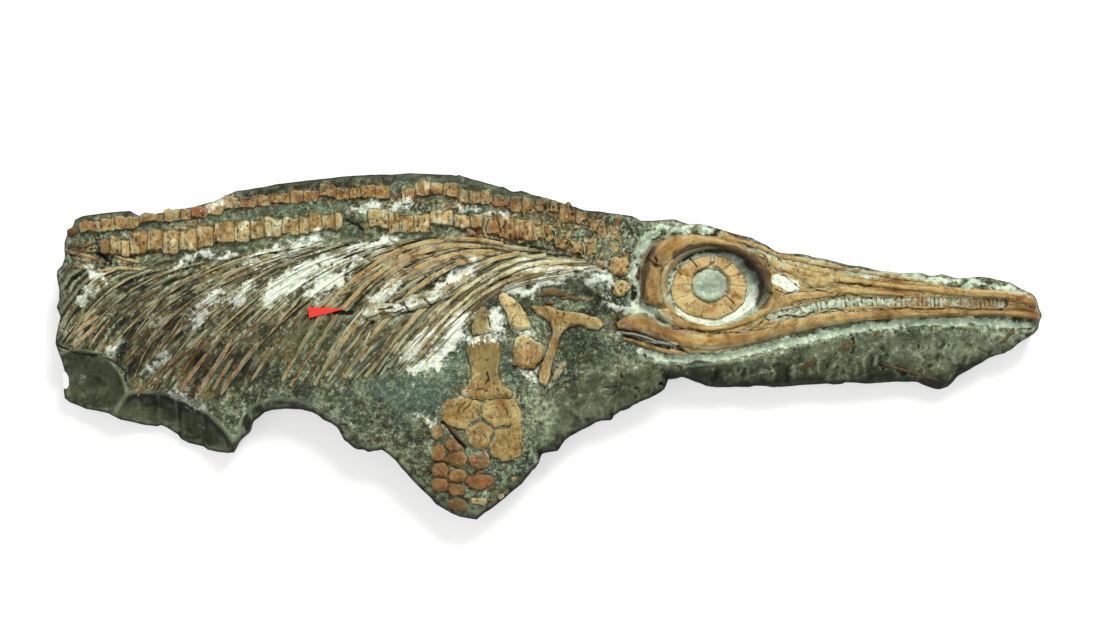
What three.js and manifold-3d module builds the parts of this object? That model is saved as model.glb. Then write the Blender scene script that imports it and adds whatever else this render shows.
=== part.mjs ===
// The front half of a fossil ichthyosaur on its slab of grey-green stone, lying face up: skull with the
// ring of eye plates, jaws with teeth, backbone, neural spines, fanned ribs, shoulder bones and one paddle.
//
// Millimetres, +Z up. The plan is drawn looking straight down on the face: x runs from tail to snout, y
// from the back edge down to the paddle. The part's origin is under the middle of the slab, on the plane
// that it rests on.
import * as THREE from "three";
import { mergeVertices } from "three/addons/utils/BufferGeometryUtils.js";
import Module from "manifold-3d";

// ---- Driving dimensions ----
const STONE_LENGTH = 988.5; // broken tail end to snout
const PLAN_LENGTH = 988.5; // the same length on the plan below
const FACE_LEVEL = 54; // height of the bedding plane that carries the bones
const SEAT_GAP = 0.3; // clearance between each bone and the stone it lies on
const BONE_ROOT = 7; // how far a bone's sides are carried down before it is fitted to the stone
const ORBIT_DEPTH = 13; // floor of the eye socket under the face
const RIB_RISE = 3.4;
const EYE_PLATE_COUNT = 14;

const SCALE = STONE_LENGTH / PLAN_LENGTH;
const PLAN_CENTRE = { x: 549.25, y: 345.5 };

const wasm = await Module();
wasm.setup();

// ---- Small geometry helpers ----

// A plan point, with its height, in the part's frame.
function place(x, y, z) {
  return new THREE.Vector3((x - PLAN_CENTRE.x) * SCALE, (PLAN_CENTRE.y - y) * SCALE, z * SCALE);
}

// Broad swells and dips of the stone's face, as smooth hills on the plan.
const SWELLS = [
  { x: 290, y: 305, reachX: 190, reachY: 80, rise: 8 }, // over the rib cage
  { x: 730, y: 292, reachX: 120, reachY: 55, rise: 9 }, // under the skull
  { x: 485, y: 350, reachX: 55, reachY: 45, rise: -3 }, // worked down around the upper arm bone
  { x: 465, y: 500, reachX: 75, reachY: 50, rise: -7 }, // tip of the paddle lobe
  { x: 90, y: 230, reachX: 80, reachY: 35, rise: -5 }, // tail end of the back edge
  { x: 430, y: 176, reachX: 170, reachY: 26, rise: -4 }, // back edge over the shoulders
  { x: 1030, y: 310, reachX: 60, reachY: 50, rise: -9 }, // snout tip
];
const hill = (d) => Math.exp(-d * d);

function swellLevel(x, y) {
  return SWELLS.reduce(
    (level, s) => level + s.rise * hill((x - s.x) / s.reachX) * hill((y - s.y) / s.reachY),
    FACE_LEVEL,
  );
}

// The face is laid out in square cells on the plan. Each is two flat facets that meet on the diagonal
// from its lower left to its upper right corner.
const GRID = { left: 45, top: 164, cell: 46, columns: 22, rows: 8 };

// Height of the faceted stone face at a plan point.
function faceLevel(x, y) {
  const [across, down] = [(x - GRID.left) / GRID.cell, (y - GRID.top) / GRID.cell];
  const [column, row] = [Math.floor(across), Math.floor(down)];
  const [u, v] = [across - column, down - row];
  const corner = (i, j) =>
    swellLevel(GRID.left + (column + i) * GRID.cell, GRID.top + (row + j) * GRID.cell);
  const [lowerLeft, upperRight] = [corner(0, 1), corner(1, 0)];
  if (u + v < 1) {
    const upperLeft = corner(0, 0);
    return upperLeft + u * (upperRight - upperLeft) + v * (lowerLeft - upperLeft);
  }
  const lowerRight = corner(1, 1);
  return lowerRight + (1 - u) * (lowerLeft - lowerRight) + (1 - v) * (upperRight - lowerRight);
}

// A closed body from its corners and triangles, turned right side out.
function bodyOf(points, faces) {
  const signed = ([a, b, c]) => points[a].dot(points[b].clone().cross(points[c]));
  if (faces.reduce((sum, face) => sum + signed(face), 0) < 0) faces.forEach((face) => face.reverse());
  const triVerts = new Uint32Array(faces.flat());
  const vertProperties = new Float32Array(points.flatMap((p) => [p.x, p.y, p.z]));
  return new wasm.Manifold(new wasm.Mesh({ numProp: 3, vertProperties, triVerts }));
}

// A closed body through a stack of rings with equal point counts. Both ends share the first ring's
// triangulation.
function loft(rings, capOf) {
  const count = rings[0].length;
  const points = rings.flat();
  const faces = [];
  for (let r = 0; r + 1 < rings.length; r++)
    for (let i = 0; i < count; i++) {
      const [a, b] = [r * count + i, r * count + ((i + 1) % count)];
      faces.push([a, b, b + count], [a, b + count, a + count]);
    }
  const last = (rings.length - 1) * count;
  for (const [a, b, c] of capOf(rings[0])) faces.push([c, b, a], [a + last, b + last, c + last]);
  return bodyOf(points, faces);
}

// A cap over a ring that may be bent in plan, wound the same way round as the ring.
const planCap = (ring) => {
  const flat = ring.map((p) => new THREE.Vector2(p.x, p.y));
  const faces = THREE.ShapeUtils.triangulateShape(flat, []);
  const sameWay = THREE.ShapeUtils.area(faces[0].map((i) => flat[i])) * THREE.ShapeUtils.area(flat) > 0;
  return sameWay ? faces : faces.map(([a, b, c]) => [c, b, a]);
};
const fanCap = (ring) => ring.slice(2).map((_, i) => [0, i + 1, i + 2]);

// Each plan point moved inwards along the mean of its two edges' normals. The distance may vary from
// point to point.
function insetRing(outline, distance) {
  const turn = Math.sign(THREE.ShapeUtils.area(outline.map(([x, y]) => new THREE.Vector2(x, y))));
  return outline.map(([x, y], i) => {
    const [px, py] = outline.at(i - 1);
    const [nx, ny] = outline[(i + 1) % outline.length];
    const length = Math.hypot(nx - px, ny - py);
    const d = turn * (typeof distance === "function" ? distance(i) : distance);
    return [x - ((ny - py) / length) * d, y + ((nx - px) / length) * d];
  });
}

function solidOf(geometry) {
  const bare = geometry.clone();
  bare.deleteAttribute("normal");
  bare.deleteAttribute("uv");
  const merged = mergeVertices(bare, 1e-4);
  const vertProperties = merged.attributes.position.array;
  const triVerts = new Uint32Array(merged.index.array);
  return new wasm.Manifold(new wasm.Mesh({ numProp: 3, vertProperties, triVerts }));
}

// ---- The stone slab ----

// Broken outline of the slab, from the tail's upper corner along the back to the snout, and round by
// the paddle.
const BACK_EDGE = [
  [73, 218], [82, 214.5], [104, 211.5], [128, 210], [138, 215], [170, 210], [192, 207], [212, 201],
  [224, 194.5],
  [235, 189], [262, 186], [285, 181], [320, 177], [360, 173.5], [400, 172.5], [440, 172], [462, 174],
  [486, 181],
  [513, 190], [526, 190.5], [548, 197], [568, 204], [585, 209], [610, 211.5], [632, 214], [640, 220],
  [675, 218.5],
  [684, 222], [702, 222.5], [722, 229], [736, 233.5], [752, 237], [766, 244], [780, 252], [798, 253],
  [830, 259],
  [850, 264.5], [872, 267], [882, 270.5], [920, 271.5], [932, 275], [943, 273], [954, 277], [985, 276],
  [1013, 281],
];
const SNOUT_EDGE = [
  [1022, 286], [1035, 294], [1039, 303], [1043.5, 315], [1040, 327], [1034, 333],
];
const JAW_SIDE_EDGE = [
  [1020, 341], [1012, 350], [992, 356.5], [976, 366], [959, 375], [953, 384], [943, 388.5], [930, 385],
  [915, 380],
  [872, 382], [842, 384], [800, 384], [780, 386], [740, 385], [715, 387], [700, 383], [684, 376],
  [669, 377.5],
];
const PADDLE_EDGE = [
  [666, 388], [652, 394.5], [625, 407], [616, 411.5], [612, 420], [600, 420.5], [580, 430], [566, 438],
  [558, 450],
  [540, 453.5], [539, 461], [530, 473], [516, 487], [500, 500.5], [477, 519], [462, 517], [450, 513],
  [435, 503],
  [415, 483], [400, 466], [382, 450], [370, 451], [358, 449], [344, 439], [337, 427.5], [323, 419],
  [312, 411.5],
  [298, 408.5], [272, 409], [262, 412], [250, 422], [247, 433.5], [238, 440], [233, 450], [226, 452.5],
];
const TAIL_EDGE = [
  [205, 448], [178, 438.5], [170, 429], [158, 424], [130, 421.5], [116, 417.5], [106, 411.5], [82, 406.5],
  [66, 400.5], [61, 395], [60, 372], [57, 352], [55, 344], [57, 330], [60, 320], [56, 306], [58, 290],
  [56, 271],
  [61, 263], [62, 246], [67, 233],
];
const STONE_OUTLINE = [...BACK_EDGE, ...SNOUT_EDGE, ...JAW_SIDE_EDGE, ...PADDLE_EDGE, ...TAIL_EDGE];

// Rock sides: undercut a little at the foot, fullest at an uneven height, and eased back to the face.
function stoneBlock() {
  const foot = insetRing(STONE_OUTLINE, (i) => 5 + 2 * Math.sin(i * 1.9));
  const crown = insetRing(STONE_OUTLINE, 4);
  const ring = (outline, height) => outline.map(([x, y], i) => place(x, y, height(i)));
  return loft(
    [
      ring(foot, () => 0),
      ring(STONE_OUTLINE, (i) => 24 + 7 * Math.sin(i * 2.3)),
      ring(crown, () => FACE_LEVEL + 30),
    ],
    planCap,
  );
}

// A smooth line through plan points.
function smoothLine(points) {
  const knots = points.map(([x, y]) => new THREE.Vector3(x, y, 0));
  return new THREE.CatmullRomCurve3(knots, false, "centripetal");
}

// Everything under the rolling face, over the whole plan.
function faceField() {
  const { left, top, cell, columns, rows } = GRID;
  const sheet = new THREE.BoxGeometry(1, 1, 1, columns, rows, 1);
  const position = sheet.attributes.position;
  for (let i = 0; i < position.count; i++) {
    const x = left + (position.getX(i) + 0.5) * columns * cell;
    const y = top + (0.5 - position.getY(i)) * rows * cell;
    const p = place(x, y, position.getZ(i) > 0 ? swellLevel(x, y) : -10);
    position.setXYZ(i, p.x, p.y, p.z);
  }
  return solidOf(sheet);
}

// A shell-shaped break: an ellipsoid's worth of stone is gone.
function shellBreak({ x, y, z, radii, turnDeg }) {
  const ball = new THREE.IcosahedronGeometry(1, 2);
  ball.scale(...radii.map((r) => r * SCALE));
  ball.rotateZ(THREE.MathUtils.degToRad(turnDeg));
  const centre = place(x, y, z);
  return solidOf(ball.translate(centre.x, centre.y, centre.z));
}
const TAIL_CORNER_BREAK = { x: 77, y: 402, z: FACE_LEVEL + 16, radii: [54, 55, 44], turnDeg: 0 };
const UNDER_BELLY_BREAK = { x: 172, y: 441, z: FACE_LEVEL + 8, radii: [72, 42, 50], turnDeg: -26 };
const BELLY_BAY_BREAK = { x: 292, y: 440, z: FACE_LEVEL + 14, radii: [56, 40, 48], turnDeg: -18 };

// A broken flank: a sloping shelf from a line on the face, then a steeper fall to the foot, outside the
// outline.
const SHELF_SHARE = 0.74; // share of the flank's width taken by the shelf
function flankBreak(stations) {
  return loft(
    stations.map(({ from, to, shelf, foot }) => {
      const edge = [0, 1].map((k) => from[k] + (to[k] - from[k]) * SHELF_SHARE);
      return [
        place(...edge, shelf),
        place(...to, foot),
        place(...to, FACE_LEVEL + 60),
        place(...from, FACE_LEVEL + 60),
        place(...from, faceLevel(...from)),
      ];
    }),
    fanCap,
  );
}
const JAW_FLANK = [
  { from: [664, 372], to: [660, 384], shelf: 52, foot: 34 },
  { from: [690, 366], to: [692, 392], shelf: 44, foot: 22 },
  { from: [728, 363], to: [728, 394], shelf: 38, foot: 8 },
  { from: [766, 358], to: [768, 394], shelf: 41, foot: 12 },
  { from: [806, 346], to: [806, 392], shelf: 36, foot: 6 },
  { from: [856, 335], to: [858, 392], shelf: 40, foot: 12 },
  { from: [905, 333], to: [908, 390], shelf: 34, foot: 6 },
  { from: [948, 331], to: [952, 396], shelf: 36, foot: 14 },
  { from: [985, 332], to: [996, 368], shelf: 38, foot: 14 },
  { from: [1012, 336], to: [1028, 352], shelf: 44, foot: 20 },
  { from: [1034, 338], to: [1052, 340], shelf: 46, foot: 30 },
];
const SHOULDER_FLANK = [
  { from: [541, 470], to: [556, 476], shelf: 50, foot: 30 },
  { from: [546, 440], to: [574, 452], shelf: 46, foot: 22 },
  { from: [552, 404], to: [590, 436], shelf: 43, foot: 18 },
  { from: [572, 384], to: [624, 424], shelf: 42, foot: 18 },
  { from: [614, 372], to: [652, 406], shelf: 43, foot: 22 },
  { from: [662, 369], to: [678, 390], shelf: 50, foot: 30 },
];

// A shallow channel cut by the preparator along a line, deepest in the middle.
function channel(line, width, depth) {
  const curve = smoothLine(line);
  const steps = 2 * line.length;
  const section = (i) => {
    const p = curve.getPointAt(i / steps);
    const along = curve.getTangentAt(i / steps);
    const half = width / 2;
    const level = faceLevel(p.x, p.y);
    return [
      place(p.x - along.y * half, p.y + along.x * half, level + 2),
      place(p.x, p.y, level - depth),
      place(p.x + along.y * half, p.y - along.x * half, level + 2),
    ];
  };
  return loft(Array.from({ length: steps + 1 }, (_, i) => section(i)), fanCap);
}
const CHANNEL_UNDER_JAW = [
  [646, 354], [690, 360.5], [745, 354], [800, 340], [855, 328], [910, 323], [970, 321], [1030, 325],
];
const CHANNEL_BEHIND_SKULL = [
  [664, 232], [646, 242], [637, 258], [635, 280], [634, 298], [646, 310], [662, 322],
];

// The eye socket: a steep-sided oval pit with a flat floor for the ring of plates.
const ORBIT = { x: 715, y: 286.5, rimX: 50, rimY: 38.5, floorX: 46, floorY: 34.5 };
const ORBIT_FLOOR = faceLevel(ORBIT.x, ORBIT.y) - ORBIT_DEPTH;

function orbitPit() {
  const oval = (rx, ry, z) =>
    Array.from({ length: 28 }, (_, i) => {
      const a = (i / 28) * 2 * Math.PI;
      return place(ORBIT.x + rx * Math.cos(a), ORBIT.y + ry * Math.sin(a), z);
    });
  const floor = oval(ORBIT.floorX, ORBIT.floorY, ORBIT_FLOOR);
  return loft([floor, oval(ORBIT.rimX, ORBIT.rimY, FACE_LEVEL + 30)], planCap);
}

const stone = [
  shellBreak(TAIL_CORNER_BREAK),
  shellBreak(UNDER_BELLY_BREAK),
  shellBreak(BELLY_BAY_BREAK),
  flankBreak(JAW_FLANK),
  flankBreak(SHOULDER_FLANK),
  channel(CHANNEL_UNDER_JAW, 11, 4),
  channel(CHANNEL_BEHIND_SKULL, 9, 4),
  orbitPit(),
].reduce((rest, cut) => rest.subtract(cut), stoneBlock().intersect(faceField()));

const stoneLifted = stone.translate([0, 0, SEAT_GAP]);

// ---- Ways of building a bone ----

// Fits a bone's underside to the stone, leaving the seat gap.
const seat = (bone) => bone.subtract(stoneLifted);

// A flat bone with a rounded shoulder, from its outline.
function plate(outline, { rise, round = 3, root = BONE_ROOT, level = faceLevel }) {
  const crown = insetRing(outline, round);
  const at = (ring, lift) => ring.map(([x, y]) => place(x, y, level(x, y) + lift));
  return loft([at(outline, -root), at(outline, rise * 0.45), at(crown, rise)], planCap);
}

// Cross profiles of long bones, from edge to edge: share of the way across, share of the full rise.
const ROUNDED = [[0, 0.4], [0.28, 1], [0.72, 1], [1, 0.4]];
const KEYSTONE = [[0.2, 1], [0.8, 1]];

// A long bone between two edges. Edge points face each other in pairs.
function strip(upper, lower, { rise, root = BONE_ROOT, profile = ROUNDED }) {
  const sections = upper.map(([ux, uy], i) => {
    const [lx, ly] = lower[i];
    const lift = typeof rise === "function" ? rise(i, upper.length - 1) : rise;
    const point = (t, z) => {
      const [x, y] = [ux + (lx - ux) * t, uy + (ly - uy) * t];
      return place(x, y, faceLevel(x, y) + z);
    };
    return [point(0, -root), ...profile.map(([t, share]) => point(t, lift * share)), point(1, -root)];
  });
  return loft(sections, fanCap);
}

// Points at equal steps along a curve through hand-set points of an edge.
function along(points, count) {
  const curve = smoothLine(points);
  return Array.from({ length: count }, (_, i) => curve.getPointAt(i / (count - 1))).map((p) => [p.x, p.y]);
}

// A row of block-shaped bones that touch end to end, with a groove across the row at each joint. Shares
// place the stations of one block along it, the first being its joint.
function blockRow(upperEdge, lowerEdge, { blocks, shares, rise, groove, narrow, profile }) {
  const stations = Array.from({ length: blocks }, (_, block) => shares.map((s) => (block + s) / blocks));
  const [upper, lower] = [upperEdge, lowerEdge].map((edge) => {
    const curve = smoothLine(edge);
    return [...stations.flat(), 1].map((t) => curve.getPointAt(t)).map((p) => [p.x, p.y]);
  });
  const atJoint = (i) => i % shares.length === 0;
  const pinched = (edge, facing) =>
    edge.map(([x, y], i) => {
      const share = atJoint(i) ? narrow : 0;
      return [x + (facing[i][0] - x) * share, y + (facing[i][1] - y) * share];
    });
  const lift = (i) => (atJoint(i) ? rise - groove : rise);
  return strip(pinched(upper, lower), pinched(lower, upper), { rise: lift, profile });
}

// ---- Ribs ----

// Ribs from the tail end to the shoulder. Each runs from its head beside the backbone to its tip.
const RIBS = [
  { width: 3.4, line: [[112, 275], [93, 286], [77, 304], [64, 328]] },
  { width: 4.6, line: [[152, 270], [128, 279], [107, 293], [88, 313], [67, 342]] },
  { width: 4, line: [[206, 262], [178, 269], [150, 280], [124, 296], [102, 317], [76, 347]] },
  { width: 4, line: [[290, 248], [255, 255], [222, 266], [190, 281], [160, 300], [134, 323], [110, 350]] },
  {
    width: 3.6,
    line: [
      [318, 246], [290, 252.5], [262, 261], [234, 272], [207, 282], [180, 297], [155, 316], [134, 340],
    ],
  },
  { width: 4, line: [[262, 268], [236, 278], [208, 291], [184, 307], [163, 327], [147, 350], [134, 380]] },
  {
    width: 4,
    line: [[345, 244], [318, 252], [290, 262], [264, 274], [240, 289], [216, 310], [194, 333], [150, 392]],
  },
  {
    width: 3.6,
    line: [[360, 247], [335, 256], [308, 266], [284, 279], [262, 294], [238, 315], [213, 337], [174, 383]],
  },
  {
    width: 3.4,
    line: [[316, 268], [298, 277.5], [276, 292.5], [252, 311], [230, 331], [211, 351], [180, 392]],
  },
  {
    width: 4.2,
    line: [
      [372, 250], [350, 258.5], [327, 269], [305, 282], [284, 298], [262, 318], [240, 341], [199, 396],
    ],
  },
  {
    width: 4,
    line: [[364, 263], [345, 273], [325, 286], [303, 304], [282, 323], [262, 343], [246, 363], [228, 387]],
  },
  {
    width: 4.4,
    line: [
      [503, 244], [478, 239.5], [450, 239], [408, 247], [385, 258], [362, 273], [323, 313], [283, 381],
    ],
  },
  {
    width: 4.6,
    line: [
      [480, 246.5], [455, 245.5], [430, 249.5], [406, 258], [384, 270], [364, 286], [329, 328],
      [291, 386],
    ],
  },
  {
    width: 5.4,
    line: [
      [494, 252], [470, 252], [448, 256], [426, 264.5], [404, 276], [384, 291], [352, 330], [315, 385],
    ],
  },
  {
    width: 5,
    line: [
      [482, 257.5], [470, 259.8], [452, 266.5], [434, 276], [418, 287], [402, 302], [372, 339],
      [345, 378],
    ],
  },
  {
    width: 5,
    line: [[519, 253], [500, 257], [484, 264], [468, 273], [450, 285], [432, 301], [397, 339], [366, 377]],
  },
  {
    width: 5,
    line: [
      [546, 255], [528, 258], [510, 263], [492, 271.5], [474, 283], [456, 296], [420, 331], [389, 367],
    ],
  },
  {
    width: 5,
    line: [
      [570, 261.5], [552, 260.8], [534, 264], [514, 270], [496, 278.5], [461, 303], [427, 338],
      [398, 373],
    ],
  },
  {
    width: 5.2,
    line: [
      [583, 269], [560, 267.5], [537, 271], [514, 278], [492, 288.5], [454, 318], [421, 356], [411, 368],
    ],
  },
  { width: 4.4, line: [[471, 312], [458, 325], [445, 339.5], [431, 355], [418.5, 369.5]] },
];

// One rib, thickest a third of the way along and tapering to its tip. Grow widens it, to cut clearance
// in what lies over it.
function rib({ width, line }, grow = 0) {
  const curve = smoothLine(line);
  const steps = Math.max(5, Math.round(curve.getLength() / 26));
  const [upper, lower] = [[], []];
  for (let i = 0; i <= steps; i++) {
    const t = i / steps;
    const p = curve.getPointAt(t);
    const tangent = curve.getTangentAt(t);
    const half = (width / 2) * (0.66 + 0.34 * Math.sin(Math.PI * Math.min(1, 0.25 + t))) + grow;
    upper.push([p.x + tangent.y * half, p.y - tangent.x * half]);
    lower.push([p.x - tangent.y * half, p.y + tangent.x * half]);
  }
  const rise = (i, last) => RIB_RISE * (1 - (0.4 * i) / last) + grow;
  return strip(upper, lower, { rise, profile: KEYSTONE });
}

// ---- Paper on the stone ----

// A thin slip that lies on the bones and stone under it.
function slip(outline, top, under) {
  const at = (z) => outline.map(([x, y]) => place(x, y, z));
  return under.reduce((rest, cut) => rest.subtract(cut), loft([at(top - 1.4), at(top)], planCap));
}

// ---- Outlines of the bones ----

const SKULL_STRIPS = {
  brow_arch: {
    upper: [
      [648, 259], [652, 249], [662, 241.5], [676, 235.5], [692, 234], [708, 237], [724, 239.5],
      [738, 244.5], [750, 251], [761, 260], [769, 271], [774, 284], [775, 294],
    ],
    lower: [
      [662, 268], [668, 262], [675, 257.5], [684, 252.5], [695, 248.5], [708, 246.5], [721, 248],
      [733, 252], [744, 257], [752, 263.5], [759, 272], [764, 282], [766, 292],
    ],
    rise: 7,
  },
  jugal_bone: {
    upper: [
      [657, 309], [668, 308.5], [676, 315], [686, 321.5], [698, 325.5], [711, 326.5], [725, 324.8],
      [740, 320.5], [752, 314.5], [761, 307], [766, 299],
    ],
    lower: [
      [657, 313], [663, 319.5], [672, 326], [684, 330.5], [698, 332], [712, 332], [727, 330.5],
      [743, 326.5], [758, 320.5], [769, 313], [774, 303],
    ],
    rise: 6,
  },
  snout_roof: {
    upper: [
      [742, 239.5], [760, 244.5], [778, 254], [800, 257], [830, 262.5], [850, 268], [872, 270.8],
      [895, 275], [925, 278],
    ],
    lower: [
      [745, 246.5], [762, 251], [778, 258.5], [800, 264], [830, 269.5], [850, 272.5], [872, 275.5],
      [895, 280], [925, 283],
    ],
    rise: 4,
  },
  upper_jaw_front: {
    toothed: [905, 1030],
    upper: [
      [839, 276.5], [860, 278.5], [882, 281.5], [905, 285], [930, 286], [950, 287], [975, 289.5],
      [1000, 290], [1022, 291.5], [1034, 297.5],
    ],
    lower: [
      [838, 283], [860, 285], [882, 288], [905, 291], [930, 293], [950, 296.5], [975, 298], [1000, 299],
      [1022, 302.5], [1037, 308.5],
    ],
    rise: 6,
  },
  upper_jaw_cheek: {
    toothed: [785, 900],
    upper: [
      [784, 294], [797, 292], [812, 291.3], [828, 290], [838, 286.3], [860, 287.8], [882, 290.4],
      [904, 293],
    ],
    lower: [
      [777, 309.5], [790, 306.5], [806, 303.5], [822, 300.5], [838, 296.5], [860, 295.5], [882, 295.8],
      [904, 297.5],
    ],
    rise: 5.5,
  },
  lower_jaw: {
    upper: [
      [616, 323], [627, 315.5], [640, 314], [656, 319.5], [673, 328], [692, 333.8], [714, 334.3],
      [736, 332.2], [760, 327.5], [785, 320.5], [810, 315.5], [835, 311.5], [862, 309.5], [892, 308.7],
      [922, 308.6], [952, 308.8], [982, 309], [1010, 310], [1030, 311.5], [1040, 315],
    ],
    lower: [
      [618, 329], [632, 331], [648, 335], [662, 340], [677, 345.5], [694, 350], [714, 350.3], [736, 347],
      [760, 341.3], [785, 335], [810, 329.5], [835, 325], [862, 321], [892, 318.8], [922, 317.5],
      [952, 316.6], [982, 315.6], [1010, 315.6], [1030, 318], [1039, 320.5],
    ],
    rise: 8,
  },
  jaw_hinge_splint: {
    upper: [[622, 336.5], [640, 339.8], [655, 345], [671, 348.8], [686, 352.8]],
    lower: [[623, 340], [640, 346], [656, 350.5], [671, 354.5], [687, 356.5]],
    rise: 4,
  },
};

const SKULL_PLATES = {
  cheek_bone: {
    outline: [
      [646.5, 262], [660.5, 270.5], [660, 282], [661, 294], [663, 304.5], [655, 307], [648, 304],
      [640.5, 302], [641, 286], [641.5, 270],
    ],
    rise: 7,
  },
  nasal_bone: {
    outline: [
      [757, 253], [772, 259], [790, 265], [806, 270], [822, 273.5], [835, 277], [834, 283], [826, 288],
      [810, 288], [800, 281], [788, 274.5], [777, 272.5], [769, 266], [763, 259],
    ],
    rise: 6,
  },
};

// Two loose vertebrae of the neck, behind the skull. The first is seen from the end, its arch broken.
const NECK_PLATES = {
  neck_vertebra_first: {
    outline: [
      [609, 259], [615, 256], [620, 259], [626, 257], [629, 264], [625, 268], [628, 274], [620, 276],
      [613, 274], [607, 269], [610, 264],
    ],
    rise: 5,
    round: 2,
  },
  neck_vertebra_second: {
    outline: [[612, 284], [618, 279.5], [626, 281], [631, 287], [628, 294], [620, 297.5], [613, 294]],
    rise: 5,
    round: 2.4,
  },
};

const SHOULDER_PLATES = {
  shoulder_blade: {
    outline: [
      [498, 295], [503, 292], [512, 297.5], [521, 305], [526, 313], [530, 322], [532, 329], [520, 330.5],
      [511, 328.5], [508, 320], [505, 311], [500, 303],
    ],
    rise: 5,
  },
  collar_fragment: {
    outline: [
      [480, 306], [487, 306.5], [488, 319], [489.5, 327.5], [496, 331], [485, 333.5], [472, 335.5],
      [471, 326], [475, 315],
    ],
    rise: 4,
  },
  coracoid_bone: {
    outline: [
      [514.5, 340], [520, 334], [528, 334.5], [536, 340.5], [543, 344], [543.5, 352], [541, 360],
      [534, 368.5], [523, 368], [513.5, 364.5], [512.5, 352],
    ],
    rise: 5,
  },
  collar_bone: {
    outline: [
      [531, 306], [545, 306], [562, 310], [580, 313], [597, 317], [605, 325], [598, 330], [588, 329],
      [579, 325], [569, 327], [562, 334], [558, 346], [553, 361], [550, 376], [546, 385.5], [539, 383],
      [539, 372], [545, 357], [550, 342], [553, 332], [550, 323], [542, 316.5], [534, 312],
    ],
    rise: 5,
    round: 2,
  },
};

const PADDLE_PLATES = {
  upper_arm_bone: {
    outline: [
      [466.5, 352], [467, 343], [474, 337.8], [484, 336.5], [494, 338.8], [500, 346], [500, 356],
      [497.5, 368], [498.5, 378], [504, 386], [512.5, 392.5], [510, 398], [496, 397.5], [484, 399],
      [474, 398.5], [462, 395.5], [461, 391], [468, 385], [472, 375], [471, 364],
    ],
    rise: 5,
  },
  forearm_bone_front: {
    outline: [
      [450, 402], [460, 399], [472, 401], [479, 405], [479, 413], [475, 420.5], [466, 425], [455, 424],
      [446, 420], [444, 413], [446.5, 406],
    ],
    rise: 4,
  },
  forearm_bone_rear: {
    outline: [
      [482.5, 409], [489, 403], [500, 401], [511, 402], [516, 408], [517.5, 417], [516, 424], [507, 425],
      [497, 426], [488, 421], [482.5, 416],
    ],
    rise: 4,
  },
  wrist_bone_middle: {
    outline: [
      [468, 430], [476, 424], [484, 423], [490, 427.5], [492.5, 434], [489.5, 442], [484, 446.5],
      [476, 446], [469.5, 441],
    ],
    rise: 4,
  },
  wrist_bone_rear: {
    outline: [
      [495.5, 433], [501, 430], [510, 428], [519, 427.5], [520, 440], [519, 452], [512, 456],
      [503, 457.5], [494, 452.5], [492.5, 443],
    ],
    rise: 4,
  },
};

// Finger bones of the paddle: small rounded discs, each a centre, two half widths and a turn.
const FINGER_BONES = [
  { x: 479.5, y: 461.5, rx: 9.5, ry: 6.5, turnDeg: 6 },
  { x: 437.5, y: 431, rx: 6, ry: 7.5, turnDeg: 0 },
  { x: 453.5, y: 445, rx: 7.5, ry: 5.5, turnDeg: 18 },
  { x: 438.5, y: 453, rx: 7, ry: 8, turnDeg: 0 },
  { x: 456.5, y: 459, rx: 9, ry: 7, turnDeg: -8 },
  { x: 440.5, y: 470, rx: 7.5, ry: 7, turnDeg: 0 },
  { x: 457.5, y: 475.5, rx: 8, ry: 6, turnDeg: 0 },
  { x: 440, y: 484.5, rx: 7, ry: 6, turnDeg: 0 },
  { x: 456.5, y: 490, rx: 7, ry: 5.2, turnDeg: 0 },
  { x: 480.5, y: 481.5, rx: 12, ry: 6, turnDeg: -4 },
  { x: 458, y: 504.5, rx: 9, ry: 5.8, turnDeg: 14 },
];

function fingerBone({ x, y, rx, ry, turnDeg }) {
  const turn = THREE.MathUtils.degToRad(turnDeg);
  const outline = Array.from({ length: 8 }, (_, i) => {
    const a = (i / 8) * 2 * Math.PI;
    const swell = 1 + 0.06 * Math.sin(3 * a + x);
    const [dx, dy] = [rx * swell * Math.cos(a), ry * swell * Math.sin(a)];
    return [x + dx * Math.cos(turn) - dy * Math.sin(turn), y + dx * Math.sin(turn) + dy * Math.cos(turn)];
  });
  return plate(outline, { rise: 3.2, round: 2.2 });
}

// ---- The ring of eye plates ----

// Across a plate from pupil to rim: share of its width, height over the floor of the socket.
const EYE_PLATE_PROFILE = [[0, 0], [0.3, 7.4], [0.88, 5], [1, 0]];

// Overlapping plates in a ring, each crowned and parted from the next by a radial groove.
function eyeRing() {
  const outer = { x: 709.3, y: 286.6, rx: 37.6, ry: 31 };
  const inner = { x: 709.5, y: 285, rx: 17.5, ry: 15.5 };
  const stations = EYE_PLATE_COUNT * 3;
  const plateShare = [0, 0.14, 0.86];
  const section = (i) => {
    const a = ((Math.floor(i / 3) + plateShare[i % 3]) / EYE_PLATE_COUNT) * 2 * Math.PI;
    const drop = i % 3 === 0 ? 1.8 : 0;
    const edge = (o) => [o.x + o.rx * Math.cos(a), o.y + o.ry * Math.sin(a)];
    const [from, to] = [edge(inner), edge(outer)];
    return EYE_PLATE_PROFILE.map(([t, height]) => {
      const [x, y] = [0, 1].map((k) => from[k] + (to[k] - from[k]) * t);
      return place(x, y, ORBIT_FLOOR + Math.max(SEAT_GAP, height - drop));
    });
  };
  return closedRing(Array.from({ length: stations }, (_, i) => section(i)));
}

// A body swept round a closed loop of sections.
function closedRing(rings) {
  const count = rings[0].length;
  const points = rings.flat();
  const faces = rings.flatMap((_, r) =>
    Array.from({ length: count }, (_, i) => {
      const next = ((r + 1) % rings.length) * count;
      const [a, b] = [r * count + i, r * count + ((i + 1) % count)];
      const [c, d] = [next + i, next + ((i + 1) % count)];
      return [[a, d, b], [a, c, d]];
    }).flat(),
  );
  return bodyOf(points, faces);
}

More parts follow.
